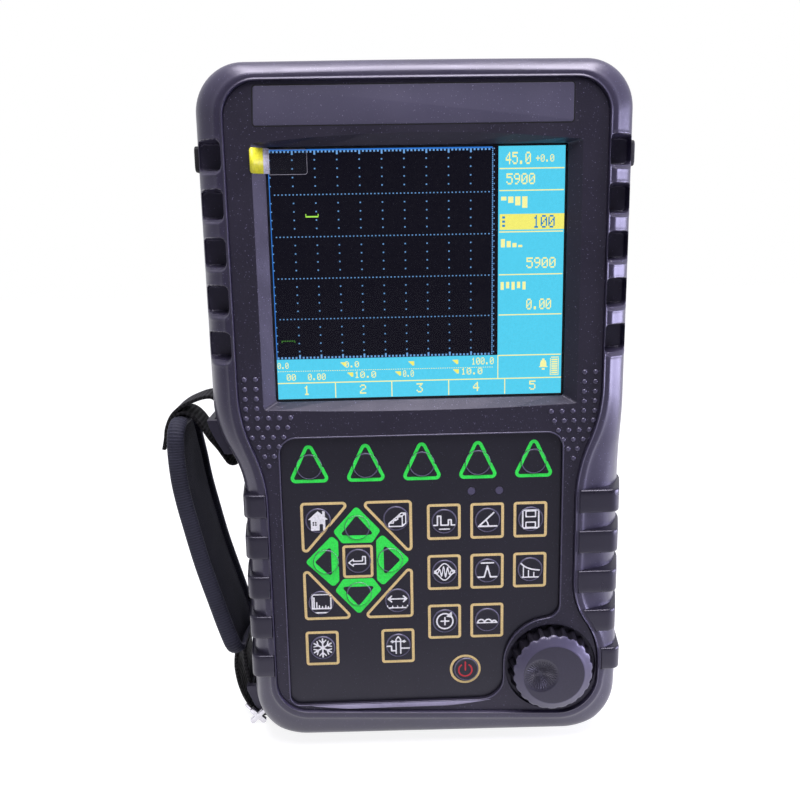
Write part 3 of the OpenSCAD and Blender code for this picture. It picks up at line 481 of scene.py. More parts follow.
# Colour and strength of the lit picture's parts
GLOWS = {
    "picture_screen": ((20, 19, 30), 1.0), "picture_grid": ((122, 180, 244), 1.0),
    "picture_cyan": ((88, 216, 250), 1.12), "picture_pale": ((252, 250, 168), 1.2),
    "picture_yellow": ((252, 246, 120), 1.15), "picture_deep": ((48, 140, 200), 1.15),
    "picture_gate": ((176, 244, 90), 1.15), "picture_rule": ((52, 128, 224), 1.0),
    "picture_faint_gate": ((80, 150, 60), 1.0)}
# Roughness, share that isn't seen through, and linear tint
SHEETS = {"window_glass": (0.08, 0.08, (0.01, 0.01, 0.014, 1)),
          "peel_film": (0.12, 0.12, (0.1, 0.1, 0.11, 1))}
# Nodes of the CAD model that have each material
CAD_LOOKS = {
    "face_plastic": ["front_panel"], "shell_plastic": ["rear_shell", "battery_door"],
    "seal_rubber": ["case_seal"], "plate_plastic": ["name_plate"], "window_glass": ["display_window"],
    "plain_steel": ["display_bracket", "encoder", "encoder_shaft", "stand_pins"],
    "display_case": ["display_panel"], "keypad_film": ["keypad_sheet"], "lamp_lens": ["indicator_lenses"],
    "board_mask": ["keypad_board", "main_board"], "battery_sleeve": ["battery_pack"],
    "screw_steel": ["door_screws", "case_screws"], "stand_plastic": ["tilt_stand"],
    "foot_rubber": ["rear_feet"], "plated_brass": ["probe_sockets"], "port_plastic": ["port_block"],
    "cover_rubber": ["port_cover"],
    "sounder_plastic": ["sounder"], "lug_plastic": ["upper_strap_lug", "lower_strap_lug"],
    "plug_rubber": ["side_plugs"]}


def srgb(colour, share=1.0):
    """Linear colour, or a share of it, of an sRGB value."""
    out = []
    for v in (c / 255 for c in colour):
        out.append((v / 12.92 if v <= 0.04045 else ((v + 0.055) / 1.055) ** 2.4) * share)
    return tuple(out) + (1.0,)


def moulded(name, dark, light, rough, grain, depth, bevel, wear_and_highlight=None, fleck=None, gloss=None):
    """Plastic: two tones that drift, a fine grain, rounded edges that are lighter from wear and a painted
    highlight where a tone is given, and, where given, a metallic fleck.
    """
    look = Look(name)
    drift = look.ramp(look.noise(26, 4), 0.35, 0.68)
    fine = look.noise(grain, 2)
    colour = look.mix(drift, srgb(dark), srgb(light))
    colour = look.mix(look.ramp(fine, 0.38, 0.66, 0.0, 0.45), colour, srgb(light))
    normal, edge = look.edges(bevel)
    # Edges take a lighter tone, broken by noise: part wear, part painted highlight.
    if wear_and_highlight:
        wear_and_highlight_mask = look.times(edge, look.ramp(look.noise(160, 3), 0.4, 0.62, 0.25, 1.0))
        colour = look.mix(wear_and_highlight_mask, colour, srgb(wear_and_highlight))
    if fleck:
        cells = look.make("TexVoronoi", {"Vector": look.where["Object"], "Scale": 1500})
        chosen = look.ramp(look.noise(1900, 0), 0.62, 0.7)
        near = look.ramp(cells.outputs["Distance"], 0.32, 0.16)
        colour = look.mix(look.times(chosen, near), colour, srgb(fleck))
    spread = look.ramp(look.noise(60, 3), 0.3, 0.7, rough - 0.05, rough + 0.06)
    tint = VIOLET if gloss else None
    look.finish(colour, spread, look.bump(fine, depth, normal), Specular_IOR_Level=gloss, Specular_Tint=tint)


def metal(name, dark, light, rough, grain, depth):
    look = Look(name)
    drift = look.ramp(look.noise(90, 4), 0.3, 0.7)
    fine = look.noise(grain, 2)
    normal, edge = look.edges(0.2)
    # Edges take the light tone: a painted highlight along them.
    colour = look.mix(edge, look.mix(drift, srgb(dark), srgb(light)), srgb(light))
    spread = look.ramp(fine, 0.3, 0.7, rough - 0.06, rough + 0.08)
    look.finish(colour, spread, look.bump(fine, depth, normal), Metallic=1.0)


def woven(name, dark, light, rib, thread, depth, sheen):
    """Webbing: ribs across its length and threads along it, from a UV map in millimetres."""
    look = Look(name)
    u, v, _ = look.parts(look.where["UV"])
    along = look.math("SINE", look.times(v, 2 * math.pi / rib))
    across = look.math("SINE", look.times(u, 2 * math.pi / thread))
    weave = look.times(along, look.ramp(across, -1, 1, 0.55, 1.0))
    height = look.math("ADD", look.ramp(weave, -1, 1), look.ramp(look.noise(1500, 3), 0, 1, 0, 0.35))
    # Raised ribs are coloured lighter than the troughs between them: painted shade in the weave, over tone
    # that drifts at random.
    tone = look.math("ADD", look.ramp(weave, -1, 1, 0, 0.6), look.ramp(look.noise(50, 4), 0.35, 0.7, 0, 0.4))
    look.finish(look.mix(tone, srgb(dark), srgb(light)), look.ramp(weave, -1, 1, 0.85, 0.62),
                look.bump(height, depth), Sheen_Weight=sheen, Sheen_Roughness=0.4,
                Sheen_Tint=(0.7, 0.7, 0.9, 1), Specular_IOR_Level=0.3)


def felted(name, dark, light):
    """Brushed lining: fibres at two scales and a soft sheen."""
    look = Look(name)
    fibre = look.noise(1300, 5, 0.75)
    clump = look.noise(190, 4)
    tone = look.times(look.ramp(fibre, 0.3, 0.75), look.ramp(clump, 0.2, 0.8, 0.4, 1.0))
    height = look.math("ADD", fibre, look.times(clump, 0.8))
    look.finish(look.mix(tone, srgb(dark), srgb(light)), look.ramp(fibre, 0, 1, 0.8, 0.95),
                look.bump(height, 0.35), Sheen_Weight=0.07, Sheen_Roughness=0.5,
                Sheen_Tint=(0.6, 0.6, 0.9, 1), Specular_IOR_Level=0.15)


def glowing(name, colour, strength):
    """Part of the lit picture: its own light, uneven like a panel of small cells."""
    look = Look(name)
    cell = look.ramp(look.noise(1500, 2), 0.3, 0.7)
    look.finish(look.mix(cell, (0.0, 0.0, 0.0, 1), (0.004, 0.004, 0.004, 1)), 0.6, Specular_IOR_Level=0.0,
                Emission_Color=look.mix(cell, srgb(colour, 0.93), srgb(colour)), Emission_Strength=strength)


def print_and_painted_light(name, colour, rough):
    """Screen print on a film, and the same flat look for painted shadow and painted highlights."""
    look = Look(name)
    fine = look.noise(1700, 2)
    tone = look.mix(look.ramp(fine, 0.35, 0.65), srgb(colour, 0.8), srgb(colour))
    look.finish(tone, look.ramp(fine, 0.3, 0.7, rough - 0.05, rough + 0.08), look.bump(fine, 0.01))


def clear_sheet(name, rough, alpha, tint):
    """Clear sheet: mostly see-through, with the gloss that is left on it and faint smears."""
    look = Look(name)
    smear = look.ramp(look.noise(35, 5), 0.45, 0.75, rough, rough + 0.05)
    colour = look.mix(look.noise(20, 2), tint, (0, 0, 0, 1))
    look.finish(colour, smear, Alpha=alpha, IOR=1.5, Specular_IOR_Level=1.0)


def grooved(name):
    """Top of the knob: plastic with fine grooves that fan out round the bottom of its dimple."""
    look = Look(name)
    fine = look.noise(2200, 2)
    colour = look.mix(look.ramp(look.noise(40, 4), 0.35, 0.7), srgb((30, 28, 40)), srgb((38, 36, 50)))
    colour = look.mix(look.ramp(fine, 0.45, 0.7, 0, 0.25), colour, srgb((58, 55, 74)))
    normal, edge = look.edges(0.35)
    # Edges take a light tone: a painted highlight.
    colour = look.mix(look.times(edge, 0.6), colour, srgb((100, 95, 124)))
    dimple = (DIMPLE_X * MM, 0, 0)
    x, y, z = look.parts(look.make("VectorMath", (look.where["Object"], dimple), operation="SUBTRACT"))
    turn = look.math("ARCTAN2", z, x)
    groove = look.ramp(look.math("SINE", look.times(turn, GROOVES)), -1, 1)
    far = look.math("SQRT", look.math("ADD", look.math("POWER", x, 2), look.math("POWER", z, 2)))
    inside = look.times(look.ramp(far, 0.0064, 0.0056), look.ramp(far, 0.0006, 0.002))
    height = look.times(groove, look.times(inside, look.ramp(y, -0.0068, -0.0071)))
    # The groove pattern is also coloured darker: painted shade along the grooves.
    colour = look.mix(look.times(height, 0.55), colour, srgb((22, 20, 30)))
    normal = look.bump(fine, 0.02, look.bump(height, 0.22, normal))
    look.finish(colour, look.ramp(look.noise(60, 3), 0.3, 0.7, 0.34, 0.44), normal,
                Specular_IOR_Level=SHINE, Specular_Tint=VIOLET)


def make_materials():
    tables = ((moulded, PLASTICS), (metal, METALS), (woven, WEAVES), (print_and_painted_light, PRINTS_AND_PAINTED_LIGHT), (glowing, GLOWS),
              (clear_sheet, SHEETS))
    for make, table in tables:
        for name, values in table.items():
            make(name, *values)
    felted("strap_felt", (10, 11, 15), (30, 31, 42))
    grooved("knob_plastic")
    for look, nodes in CAD_LOOKS.items():
        for node in nodes:
            dress(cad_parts[node], look)


# Bumper

CASE_CORNERS = [(80, 267, 18), (-80, 267, 18), (-80, 135, 8.74), (-69.5, 116, 8.74), (-69.5, 0, 22),
                (80, 0, 22), (80, 47, 6.9), (80, 62, 6.9), (80, 116, 8.74), (80, 135, 8.74)]
CREST_CORNERS = [(67.5, 258, 12), (-67.5, 258, 12), (-67.5, 139, 10.81), (-58.365, 115.5, 10.81),
                 (-58.365, 20.5, 12), (68.6, 15.5, 16), (68.6, 47, 9), (58.365, 62, 9),
                 (58.365, 115.5, 10.81), (67.5, 139, 10.81)]
# Share of the lip's width, share of the way out to the side, and share of SIDE_DROP below the crest
BUMPER_ROWS = [(0, 0, 0.17), (0.04, 0, 0.115), (0.09, 0, 0.1), (0.15, 0, 0.118), (0.24, 0, 0.135),
               (0.45, 0, 0.138), (0.72, 0, 0.15), (1, 0, 0.2), (1, 0.25, 0.285), (1, 0.5, 0.4),
               (1, 0.68, 0.57), (1, 0.82, 0.82), (1, 0.92, 1.08), (1, 1, 1.45)]
BUMPER_END_Y = -10.05
# Depth of the last rows, and share of the way out to the side
BUMPER_ENDS = ((-11.2, 1), (-10.6, 0.99), (BUMPER_END_Y, 0.9625))
LIP_W = 4.2
SIDE_DROP = 16.5
CREST_FOOT = 3.3
BOTTOM_BAND = 9.0
BOTTOM_LIFT = 1.9
BOTTOM_FADE = (-15.0, -10.4)
BEND_N = 20
ROW_STEPS = 3
COARSE_STEP = 3.0
FINE_STEP = 0.34
FINE_SIDES = (1, 9)
POCKET_PLACES = {1: (72.75, 9.2), -1: (73.75, 9.0)}
POCKET_TOP = 233.7
POCKET_PITCH = 16.85
POCKET_H = 9.8
POCKET_R = 1.6
POCKET_Y = -24.0
POCKET_SOFT = 0.42
POCKET_REACH = 6
POCKET_RIM_RISE = 0.16
POCKET_RIM_OUT = 0.75
POCKET_RIM_W = 0.4
LEDGE = 1.3
LEDGE_SHARE = 0.16
TAB_Y = -18.6
TAB_Z = 233.2
TAB_HALF = 4.6
TAB_ROWS = ((77.4, 0.0), (79.8, 0.0), (80.1, -0.15), (80.3, -0.6))
RIB_TOP = 104
LEFT_RIB_UP = 1.4
RIB_PITCH = 16.35
RIB_H = 9.2
RIB_FRONT_Y = -35.8
RIB_SIDE_Y = -17.0
RIB_END_Y = -11.2
RIB_EDGES = {1: (75.1, 80.5), -1: (67.6, 69.8)}
RIB_SINKS = {1: 1.8, -1: 0.8}
# Share of the half height, and how far the section is pulled in there
RIB_ROWS = ((-1, 0.9), (-0.975, 0.42), (-0.92, 0.12), (-0.84, 0.0), (-0.4, 0.0), (0, 0.0), (0.4, 0.0),
            (0.84, 0.0), (0.92, 0.12), (0.975, 0.42), (1, 0.9))
WELL_TOP = 50
WELL_PUSH = 2.4


def side_steps(corners):
    """How many parts each side is cut into. The sides with grip pockets are cut finely."""
    out = []
    for i in range(len(corners)):
        a = bend_points(corners, i, 1)[-1]
        b = bend_points(corners, (i + 1) % len(corners), 1)[0]
        step = FINE_STEP if i in FINE_SIDES else COARSE_STEP
        out.append(max(1, round(float(np.linalg.norm(b - a)) / step)))
    return out


def pocket_mask(x, z):
    """How deep a point of the bumper is in a grip pocket, and how far on its raised rim, from 0 to 1."""
    deep, rim = np.zeros(len(x)), np.zeros(len(x))
    for i in range(10):
        side = 1 if i < 5 else -1
        at, width = POCKET_PLACES[side]
        middle = POCKET_TOP - i % 5 * POCKET_PITCH
        p = np.stack([side * x, z], 1)
        inside = -box_field(p, (at, middle), (width / 2, POCKET_H / 2), POCKET_R)
        ledge = -box_field(p, (at, middle - LEDGE / 2), (width / 2, (POCKET_H + LEDGE) / 2), POCKET_R + 0.4)
        share = LEDGE_SHARE * smooth(ledge, -POCKET_SOFT, POCKET_SOFT)
        share += (1 - LEDGE_SHARE) * smooth(inside, -POCKET_SOFT, POCKET_SOFT)
        deep = np.maximum(deep, share)
        rim = np.maximum(rim, np.exp(-((np.maximum(inside, ledge) + POCKET_RIM_OUT) / POCKET_RIM_W) ** 2))
    return deep, rim


def bumper_ring(crest, case, lip, flank, y):
    v = case - crest
    length = np.linalg.norm(v, axis=1)
    reach = lip * LIP_W + (length - lip * LIP_W) * flank
    p = crest + v / length[:, None] * reach[:, None]
    return np.stack([p[:, 0], np.full(len(p), y), p[:, 1]], 1)


def build_bumper():
    steps = side_steps(CASE_CORNERS)
    crest = rounded(CREST_CORNERS, BEND_N, steps)
    case = rounded(CASE_CORNERS, BEND_N, steps)
    rings = [bumper_ring(crest, case, 0, 0, y) for y in (BUMPER_END_Y, CREST_Y + CREST_FOOT)]
    for lip, flank, drop in spline(BUMPER_ROWS, ROW_STEPS):
        rings.append(bumper_ring(crest, case, lip, flank, CREST_Y + drop * SIDE_DROP))
    rings += [bumper_ring(crest, case, 1, flank, y) for y, flank in BUMPER_ENDS]
    points = np.concatenate(rings)
    deep, rim = pocket_mask(points[:, 0], points[:, 2])
    front = points[:, 1] < POCKET_Y + POCKET_REACH
    points[:, 1] += front * (deep * np.maximum(POCKET_Y - points[:, 1], 0) - POCKET_RIM_RISE * rim)
    low = np.clip(1 - points[:, 2] / BOTTOM_BAND, 0, 1)
    points[:, 2] += BOTTOM_LIFT * low * (1 - smooth(points[:, 1], *BOTTOM_FADE))
    faces = ring_faces(len(rings), len(crest), True)
    settle(add_mesh("bumper_ring", points, faces, "bumper_plastic", 50), "case", "bumper", "front_bumper")
    for side in (-1, 1):
        for i in range(5):
            z = RIB_TOP - i * RIB_PITCH + (LEFT_RIB_UP if side < 0 else 0)
            build_rib(side, z, f"rib_{'left' if side < 0 else 'right'}_{i + 1}")
    build_side_tabs()


def build_side_tabs():
    """Ends of the rubber plugs that show beside the uppermost grip pockets."""
    flat = rounded(box_corners(TAB_HALF, TAB_HALF, 1.4), 5)
    n = len(flat)
    for side, name in ((1, "right"), (-1, "left")):
        points = []
        for out, grow in TAB_ROWS:
            points += [(side * out, TAB_Y - y, TAB_Z + z) for y, z in flat * (1 + grow / TAB_HALF)]
        faces = ring_faces(4, n) + [end_face(3, n)]
        if side > 0:
            faces = [f[::-1] for f in faces]
        settle(add_mesh(f"side_tab_{name}", points, faces, "plug_rubber", 40), "case", "plug")


def crest_x(side, z):
    """How far out the crest is at a height, on one side."""
    outline = rounded(inset(CREST_CORNERS, -RIB_SINKS[side]), 12)
    best = 0.0
    for p, q in zip(outline, np.roll(outline, -1, axis=0)):
        if (p[1] - z) * (q[1] - z) <= 0 and abs(p[1] - q[1]) > 1e-9 and side * p[0] > 0:
            best = max(best, abs(p[0] + (q[0] - p[0]) * (z - p[1]) / (q[1] - p[1])))
    return best


def build_rib(side, z, name):
    """One finger rib: a bar with rounded ends whose inner end is sunk in the ring."""
    front, edge = RIB_EDGES[side]
    if side > 0 and z < WELL_TOP:
        front += WELL_PUSH
    rings = []
    for share, pull in RIB_ROWS:
        level = z + share * RIB_H / 2
        inner = crest_x(side, level) - pull
        corners = [(inner, RIB_FRONT_Y, 0.2), (front, RIB_FRONT_Y, 3.2), (edge, RIB_SIDE_Y, 3.0),
                   (edge, RIB_END_Y, 0.6), (inner, RIB_END_Y, 0.2)]
        flat = rounded(inset(corners, pull), 5)
        rings.append(np.stack([side * flat[:, 0], flat[:, 1], np.full(len(flat), level)], 1))
    n = len(rings[0])
    faces = ring_faces(len(rings), n) + [end_face(0, n)[::-1], end_face(len(rings) - 1, n)]
    if side < 0:
        faces = [f[::-1] for f in faces]
    # The rib's darker plastic is painted shade.
    settle(add_mesh(name, np.concatenate(rings), faces, "rib_plastic", 40), "case", "bumper")


# Keys and their prints

CROSS = (-25.3, 81.8)
# Radius and height of the dome and its rim, and of the whole cap with its flange and plunger
DOME_ROWS = [(0, 0.30), (2.0, 0.305), (3.6, 0.31), (4.25, 0.32), (4.42, 0.36), (4.58, 0.44), (4.7, 0.46),
             (4.8, 0.38), (4.87, 0.2), (4.92, 0.04), (4.97, -0.02)]
CAP_ROWS = [(0.02, -3.3), (1.5, -3.3), (1.5, -2.85), (5.8, -2.85), (5.8, -2.05), (4.8, -2.05), (4.8, -0.3),
            (4.97, -0.12)] + DOME_ROWS[:0:-1] + [(1.0, 0.3), (0.02, 0.3)]
CAP_N = 48
KEY_RIM_FROM = 4.35
KEY_RIM_TO = 4.95
KEY_SPLIT_R = 4.9
SPLIT_GAP = 0.06
PRINT_PROUD = 0.03
PRINT_STEP = 0.3
PRINT_REACH = 26
FRAME_LINE = 1.05
FRAME_SHIFT = np.array((-0.1, -0.25))
SOFT_KEY_FRAME = [(0, 10.9), (-8.2, -6.3), (8.2, -6.3)]
CORNER_REACH = (21.3, 24)
CORNER_KEYS = {"home_key": (-1, 1), "scale_key": (1, 1), "graph_key": (-1, -1), "range_key": (1, -1)}
CORNER_TIPS = {"home_key": (-1.8, 1.3), "scale_key": (1.0, 0.9), "graph_key": (-1.5, -0.9),
               "range_key": (0.9, -1.2)}
ARROW_TURNS = {"up_key": 0, "right_key": 1, "down_key": 2, "left_key": 3}
ARROW_R = 1.3
# Outer and inner outline of the upper and lower arrow, then of the arrows beside them
ARROWS = (([(0, 22.2), (-9.1, 12.1), (-5.8, 7.3), (5.8, 7.3), (9.1, 12.1)],
           [(0, 18.6), (-6.6, 10.5), (6.6, 10.5)]),
          ([(0, 20.2), (-10.5, 9.7), (-8.1, 7.3), (8.1, 7.3), (10.5, 9.7)],
           [(0, 16.5), (-6.5, 10.1), (6.5, 10.1)]))


def key_places():
    """Middle of each key, seen from the front, from the CAD keys."""
    places = {}
    for name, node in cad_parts.items():
        if name.endswith("_key") or name.startswith("soft_key"):
            points = np.array([node.matrix_world @ v.co for v in node.data.vertices]) / MM
            x, _, z = (points.min(axis=0) + points.max(axis=0)) / 2
            places[name] = (round(float(x), 1), round(float(z), 1))
    return places


KEYS = key_places()


def arc(centre, r, start, end):
    """Points of an arc between two angles in degrees."""
    turns = [math.radians(start + (end - start) * k / 16) for k in range(17)]
    return [(centre[0] + r * math.cos(a), centre[1] + r * math.sin(a)) for a in turns]


def envelope_strokes():
    """Wave packet between the two lines that hold it."""
    swell = [(-4 + 8 * t, 0.4 + 3.0 * math.sin(math.pi * t) ** 2) for t in np.linspace(0, 1, 25)]
    wave = [(-4 + 8 * t, 2.3 * math.sin(math.pi * t) ** 2 * math.sin(10 * math.pi * t))
            for t in np.linspace(0, 1, 41)]
    return [(0.5, swell), (0.5, [(x, -z) for x, z in swell]), (0.4, wave)]


def snowflake_strokes():
    strokes = []
    for k in range(6):
        a = math.radians(90 + 60 * k)
        ahead, side = np.array((math.cos(a), math.sin(a))), np.array((-math.sin(a), math.cos(a)))
        strokes.append((0.6, [(0, 0), 3.9 * ahead]))
        strokes += [(0.5, [1.9 * ahead, 3.3 * ahead + 1.3 * s * side]) for s in (-1, 1)]
    return strokes


# Pictograms as strokes, each a width and the points of its path, about the key's centre
STROKES = {
    "graph_key": [(0.5, [(-3.4, -4.1), (3.8, -4.1)])] + [(0.5, [(x, -2.2), (x, top)]) for x, top in (
        (-2.7, 2.2), (-1.7, 0.2), (-0.7, -1.1), (0.5, -1.5), (1.8, -1.2), (2.8, -1.6))],
    "range_key": [(0.6, [(s * 2.3, 1.9), (s * 3.6, 0.7), (s * 2.3, -0.5)]) for s in (-1, 1)] + [
        (0.6, [(-3.4, 0.7), (3.4, 0.7)]), (0.5, [(-3.9, -3.0), (3.9, -3.0)])] + [
        (0.5, [(x, -3.9), (x, -2.1)]) for x in (-3.9, 3.9)] + [
        (0.4, [(x, -3.0), (x, -2.1)]) for x in (-1.95, 0, 1.95)],
    "delay_key": [(0.6, [(-4, -1.5), (-2.6, -1.5), (-2.6, 2.2), (-1.3, 2.2), (-1.3, -1.5), (1.6, -1.5),
                         (1.6, 0.6), (2.7, 0.6), (2.7, -1.5), (4, -1.5)]),
                  (0.5, [(-1.9, -3.1), (2.1, -3.1)])],
    "angle_key": [(0.65, [(3.6, -2.4), (-3.4, -2.4), (2.4, 3.0)]), (0.5, arc((-3.4, -2.4), 3.7, 0, 42))],
    "envelope_key": envelope_strokes(),
    "peak_key": [(0.6, [(-4, -2.6), (-1.2, -2.6), (0, 2.0), (1.2, -2.6), (4, -2.6)]),
                 (0.6, [(-2.4, 3.2), (2.4, 3.2)])],
    "curve_key": [(0.6, [(-3.6 + 7.2 * k / 20, 3.2 * math.exp(-2.6 * k / 20) - 0.6) for k in range(21)]),
                  (0.5, [(-3.9, -3.2), (3.9, -3.2)])] + [
        (0.45, [(x, -3.2), (x, z)]) for x, z in ((-2.6, 1.0), (-0.6, -0.4), (1.5, -1.2))],
    "gain_key": [(0.6, arc((0, 0), 3.2, 60, 390)), (0.6, [(-1.5, 0), (1.5, 0)]),
                 (0.6, [(0, -1.5), (0, 1.5)])],
    "video_key": [(0.45, [(-4, -1.2), (4, -1.2)])] + [
        (0.6, arc((x, -1.2), r, 0, 180)) for x, r in ((-2.4, 1.4), (0.4, 1.4), (2.7, 0.9))],
    "freeze_key": snowflake_strokes(),
    "gate_key": [(0.5, [(-0.9, -3.4), (-0.9, 2.6), (0, 3.8), (0.9, 2.6), (0.9, -3.4)]),
                 (0.6, [(-4.6, -0.2), (-2.7, -0.2), (-2.7, -2.2), (-1.2, -2.2)]),
                 (0.6, [(1.2, -1.2), (4.4, -1.2)]), (0.5, [(-2.9, 1.7), (2.9, 1.7)])],
    "power_key": [(0.62, arc((-0.4, -0.3), 2.65, -235, 55)), (0.62, [(-0.4, -0.4), (-0.4, 3.2)])]}
ARROWHEADS = {
    "gain_key": [[(0.4, 1.9), (2.9, 4.3), (2.7, 1.4)]],
    "gate_key": [[(s * 1.2, 1.7), (s * 2.6, 2.5), (s * 2.6, 0.9)] for s in (-1, 1)]}


def house(p):
    q = p / 0.92
    roof = polygon_field(q, [(-4.2, 0.4), (4.2, 0.4), (0, 4.2)])
    wall = box_field(q, (0, -1.7), (3.0, 2.6))
    chimney = box_field(q, (2.4, 3.0), (0.55, 1.2))
    door = box_field(q, (1.3, -3.1), (0.7, 1.6))
    panes = [box_field(q, (x, z), (0.36, 0.36)) for x in (-1.95, -0.95) for z in (-0.8, -1.8)]
    solid = np.minimum.reduce([roof, wall, chimney])
    return np.maximum(solid, -np.minimum.reduce(panes + [door])) * 0.92


def stairs(p):
    """Steps that rise to the right, drawn as their outline with a second edge behind."""
    q = (p - (0.5, -0.3)) / 0.95
    front = [(-3.4, -3.0), (-3.4, -1.6), (-1.6, -1.6), (-1.6, -0.1), (0.2, -0.1), (0.2, 1.4), (2.0, 1.4),
             (2.0, -3.0), (-3.4, -3.0)]
    back = [(-3.4, -1.6), (-2.0, -0.5), (-0.5, -0.5)]
    more = [(-1.6, -0.1), (-0.2, 1.0), (1.3, 1.0)]
    top = [(0.2, 1.4), (1.6, 2.6), (3.4, 2.6), (2.0, 1.4)]
    side = [(3.4, 2.6), (3.4, -1.7), (2.0, -3.0)]
    return np.minimum.reduce([path_field(q, 0.5, line) for line in (front, back, more, top, side)]) * 0.95


def graph_box(p):
    return outline_band(box_field(p, (0.2, 0.5), (3.9, 3.2)), 0.55)


def enter_arrow(p):
    corners = [(-3.8, -0.6), (-1.8, -2.2), (-1.8, -1.3), (2.9, -1.3), (2.9, 1.9), (1.6, 1.9), (1.6, 0.1),
               (-1.8, 0.1), (-1.8, 1.0)]
    return outline_band(polygon_field(p, corners) - 0.15, 0.5)


def disk(p):
    edge = outline_band(box_field(p, (0, 0), (3.4, 3.9), 0.5), 0.6)
    shutter = outline_band(box_field(p, (0, 2.1), (2.1, 1.4)), 0.5)
    label = outline_band(box_field(p, (0, -2.3), (2.1, 1.3)), 0.5)
    return np.minimum.reduce([edge, shutter, label])


SHAPES = {"home_key": house, "scale_key": stairs, "graph_key": graph_box, "enter_key": enter_arrow,
          "save_key": disk}


def key_sign(name, p):
    """Field of the pictogram on a key."""
    fields = [path_field(p, w, points) for w, points in STROKES.get(name, [])]
    fields += [polygon_field(p, corners) for corners in ARROWHEADS.get(name, [])]
    if name in SHAPES:
        fields.append(SHAPES[name](p))
    return np.minimum.reduce(fields)


def turned(points, quarter):
    """Points turned clockwise by quarters of a turn."""
    for _ in range(quarter):
        points = [(z, -x) for x, z in points]
    return points


def key_frame(name, p):
    """Field of the printed outline round a key, about the key's centre."""
    centre = np.array(CROSS) - np.array(KEYS[name])
    if name.startswith("soft_key"):
        return outline_band(soft_polygon(p, SOFT_KEY_FRAME, 1.9), 1.3)
    if name in ARROW_TURNS:
        quarter = ARROW_TURNS[name]
        outer, inner = ARROWS[quarter % 2]
        outside = soft_polygon(p - centre, turned(outer, quarter), ARROW_R)
        return np.maximum(outside, -soft_polygon(p - centre, turned(inner, quarter), 0.7))
    if name in CORNER_KEYS:
        x, z = np.array(CORNER_KEYS[name]) * CORNER_REACH
        tip_x, tip_z = CORNER_TIPS[name]
        corners = [(x, z), (tip_x, z), (x, tip_z)]
        if x * z < 0:
            corners = corners[::-1]
        return outline_band(soft_polygon(p - centre, corners, 1.6), FRAME_LINE)
    if name == "power_key":
        return outline_band(disc_field(p, (-0.4, 0), 6.15), 0.95)
    half = (5.9, 6.7) if name == "enter_key" else (6.5, 7.2)
    return outline_band(box_field(p, FRAME_SHIFT, half, 1.2), FRAME_LINE)


def lay_print(name, field, key, look, on_key):
    """Thin print that follows the dome of a key, or the sheet round it."""
    def part(p):
        r = np.linalg.norm(p, axis=1)
        return np.maximum(field(key, p), r - KEY_SPLIT_R if on_key else KEY_SPLIT_R + SPLIT_GAP - r)

    reach = KEY_SPLIT_R + 0.3 if on_key else PRINT_REACH
    step = PRINT_STEP if on_key else PRINT_STEP * 1.2
    flat, faces = fill_field(part, (-reach, -reach), (reach, reach), step)
    if not faces:
        return
    radii, heights = zip(*DOME_ROWS)
    points = []
    for x, z in flat:
        lift = float(np.interp(math.hypot(x, z), radii, heights)) if on_key else 0.0
        points.append((KEYS[key][0] + x, FILM_Y - lift - PRINT_PROUD, KEYS[key][1] + z))
    settle(add_mesh(name, points, faces, look, 30), f"{key}_body" if on_key else "case", "keypad")


def key_mesh():
    """A key cap with its raised rim, flange and plunger; the rim's faces get a lighter film tone, a painted
    highlight.
    """
    cap = add_mesh("key_cap", lathe(CAP_ROWS, CAP_N), ring_faces(len(CAP_ROWS), CAP_N), "keypad_film", 40)
    dress(cap, "keypad_film", "key_rim_film")
    mesh = cap.data
    for f in mesh.polygons:
        radii = [math.hypot(mesh.vertices[v].co.x, mesh.vertices[v].co.z) / MM for v in f.vertices]
        if f.center.y < 0 and min(radii) > KEY_RIM_FROM and max(radii) < KEY_RIM_TO:
            f.material_index = 1
    bpy.data.objects.remove(cap)
    return mesh


def build_keys():
    mesh = key_mesh()
    for name, at in KEYS.items():
        cap = bpy.data.objects.new(f"cap_{name}", mesh)
        cap.location = (at[0] * MM, FILM_Y * MM, at[1] * MM)
        bpy.context.scene.collection.objects.link(cap)
        settle(cap, f"{name}_body", "key", name)
        green = name.startswith("soft_key") or name in ARROW_TURNS
        colour = "print_green" if green else "print_gold"
        lay_print(f"frame_cap_{name}", key_frame, name, colour, True)
        lay_print(f"frame_sheet_{name}", key_frame, name, colour, False)
        if not green:
            colour = "print_red" if name == "power_key" else "print_white"
            lay_print(f"sign_{name}", key_sign, name, colour, True)


# Small forms of the face

DOT_X = 65.0
DOT_TOP = 154.0
DOT_PITCH_X = 4.1
DOT_PITCH_Z = 3.67
DOT_R = 1.0
DOT_RISE = 0.62
DOT_N = 16
# How many dots a line has, how far in it starts, and how close they are, in pitches
DOT_LINES = [(2, 0, 1)] * 4 + [(5, 0, 1), (5, 0.1, 0.9), (4, 0.45, 0.95), (3, 1, 0.92), (2, 1.5, 0.86),
                               (1, 1.85, 1)]
FILM_CORNERS = [(53.2, 131.2, 6), (-53.2, 131.2, 6), (-53.2, 22.3, 4), (31.2, 22.3, 9), (31.2, 54, 16.5),
                (53.2, 57, 5)]
BEAD_OUT = 0.35
BEAD_R = 0.3
BEAD_N = 8
LIP_ENDS = (-47.5, 26.5)
LIP_TOP = 22.15
LIP_WIDE = 1.7
LIP_STEPS = 60
PLATE_CORNERS = [(54.7, 256.3, 0.9), (-56.7, 256.3, 0.9), (-57.2, 243.2, 0.9), (54.7, 243.2, 0.9)]
# How far out of the plate's outline, and how far in front of the face
PLATE_ROWS = ((2.3, -0.06), (0.45, 0.03), (0.0, 0.03), (-0.05, 0.1), (-0.3, 0.16))


